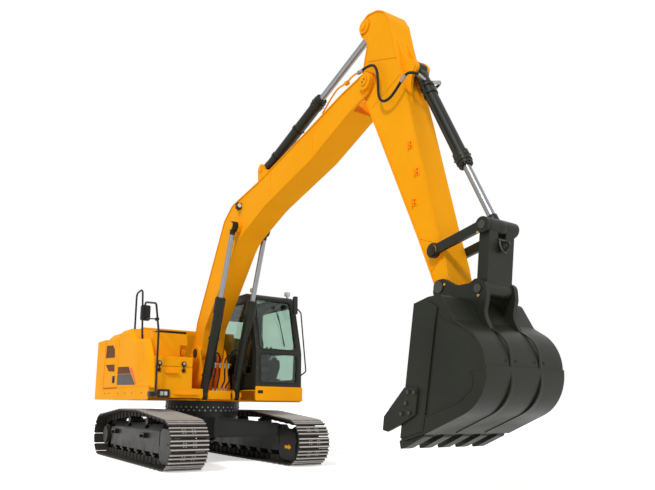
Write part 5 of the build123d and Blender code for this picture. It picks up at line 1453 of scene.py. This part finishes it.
# undercarriage: hub bolts, the guards' plugs and the travel arrow on the left frame
underTrim = {
    "hub": (-1.655, 0.385), "hubRadius": 0.15, "hubBolts": 16, "outer": 1.25, "plug": (1.483, 0.369),
    "arrow": ((1.30, 0.262), (1.44, 0.262), (1.44, 0.238), (1.52, 0.285), (1.44, 0.332), (1.44, 0.308),
              (1.30, 0.308), (1.335, 0.285)),
}


def makeUnderTrim(spec):
    spots = []
    forward, height = spec["hub"]
    for side in (-1, 1):
        for k in range(spec["hubBolts"]):
            angle = math.tau * k / spec["hubBolts"]
            spots.append((at(side * spec["outer"], forward + spec["hubRadius"] * math.cos(angle),
                             height + spec["hubRadius"] * math.sin(angle)), (side, 0, 0)))
    addBolts("hub_bolts", spots, "undercarriage", "pinSteel", 0.02)
    shape = bmesh.new()
    addPlate(shape, [list(spec["arrow"])], 0.959, 0.9655)
    makePiece("travel_arrow", shape, "undercarriage", "yellowEnamel", 35)
    hole = bmesh.new()
    for side in (-1, 1):
        addRound(hole, at(side * 1.212, *spec["plug"]), at(side * 1.2185, *spec["plug"]), 0.026, 24)
    makePiece("guard_plugs", hole, "undercarriage", "rubber", 35)


# back and left side: louvres, tail lamps in their guards, lifting eyes, latches and the exhaust
backTrim = {
    # columns: name, body, spots, slat length, depth and tilt
    "louvres": (("radiator_slats", "radiator_door", [(1.356, 1.45, z / 1000) for z in range(1420, 2060, 45)],
                 0.42, 0.014, 35),
                ("hood_slats", "engine_hood", [(x / 100, 1.2, 2.392) for x in range(-60, 65, 6)], 0.5, 0.02, 35)),
    "tail": 2.75, "lampTurn": 20, "lampUp": 1.30, "lamp": corners(-0.10, -0.035, 0.10, 0.035),
    "guard": corners(-0.125, -0.06, 0.125, 0.06), "eye": (0.75, -2.1, 2.19), "eyeHalf": (0.07, 0.075),
    "latches": (("radiator_latch", "radiator_door", -1.35), ("battery_latch", "battery_door", -0.78)),
    "latch": ((1.345, 1.40), (1.357, 1.50)), "latchLong": 0.07,
    "exhaust": ((0.55, -1.45, 2.38), (0.55, -1.45, 2.56), (0.55, -1.56, 2.66)), "exhaustRadius": 0.045,
}


def makeBackTrim(spec):
    for name, body, spots, length, depth, tilt in spec["louvres"]:
        addSlats(name, spots, body, "charcoalEnamel", length, depth, tilt)
    lamps, guards, eyes = bmesh.new(), bmesh.new(), bmesh.new()
    for side in (-1, 1):
        angle = math.radians(90 - side * spec["lampTurn"])
        facing = Vector((math.cos(angle), math.sin(angle), 0))
        middle = facing * spec["tail"] + Vector((0, 0, spec["lampUp"]))
        turn = Matrix.Translation(middle) @ facing.to_track_quat("Z", "Y").to_matrix().to_4x4()

        def onTail(a, b, t, turn=turn):
            return turn @ Vector((a, b, t))

        addPlate(lamps, [roundOff(spec["lamp"], 0.02)], -0.02, -0.002, onTail)
        addRing(guards, spec["guard"], 0.03, -0.03, -0.001, 0.02, onTail)
        x, forward, up = spec["eye"]
        long, high = spec["eyeHalf"]
        ring = [at(side * x, forward + long * math.cos(k * math.pi / 8), up + high * math.sin(k * math.pi / 8))
                for k in range(9)]
        addTube(eyes, ring, 0.018, 0.01, 2)
    makePiece("tail_lamps", lamps, "house", "orangeVinyl", 35, 0.003)
    makePiece("tail_lamp_guards", guards, "house", "blackEnamel", 35, 0.003)
    makePiece("lifting_eyes", eyes, "house", "charcoalEnamel", 60)
    (left, low), (right, high) = spec["latch"]
    for name, body, rear in spec["latches"]:
        shape = bmesh.new()
        addBox(shape, (left, rear, low), (right, rear + spec["latchLong"], high))
        makePiece(name, shape, body, "rubber", 35, 0.003)
    pipe = bmesh.new()
    addTube(pipe, [at(*spot) for spot in spec["exhaust"]], spec["exhaustRadius"], 0.07, 4)
    makePiece("exhaust_pipe", pipe, "engine_hood", "castIron", 60)


makePumpDoor(pumpDoor)
makeSideCover(sideCover)
makeToolBox(toolBox)
makeHouseFront(houseFront)
makeFrontHoses(frontHoses)
makeRingBolts(ringBolts)
print("house dressed")
makeCabTrim(cab)
makeCabInside(cabInside)
makeMirrors(mirrors)
print("cab dressed")
makeBoomTrim(boomTrim)
makeLoopHoses(loopHose)
makeArmTrim(armTrim)
makeCylinderTrim(cylinderTrim)
makeRods(rods)
makeBucketTrim(bucketTrim)
makeShackle(shackle)
makePinTrim(pinTrim)
print("front dressed")
makeUnderTrim(underTrim)
makeBackTrim(backTrim)
print("back and undercarriage dressed")
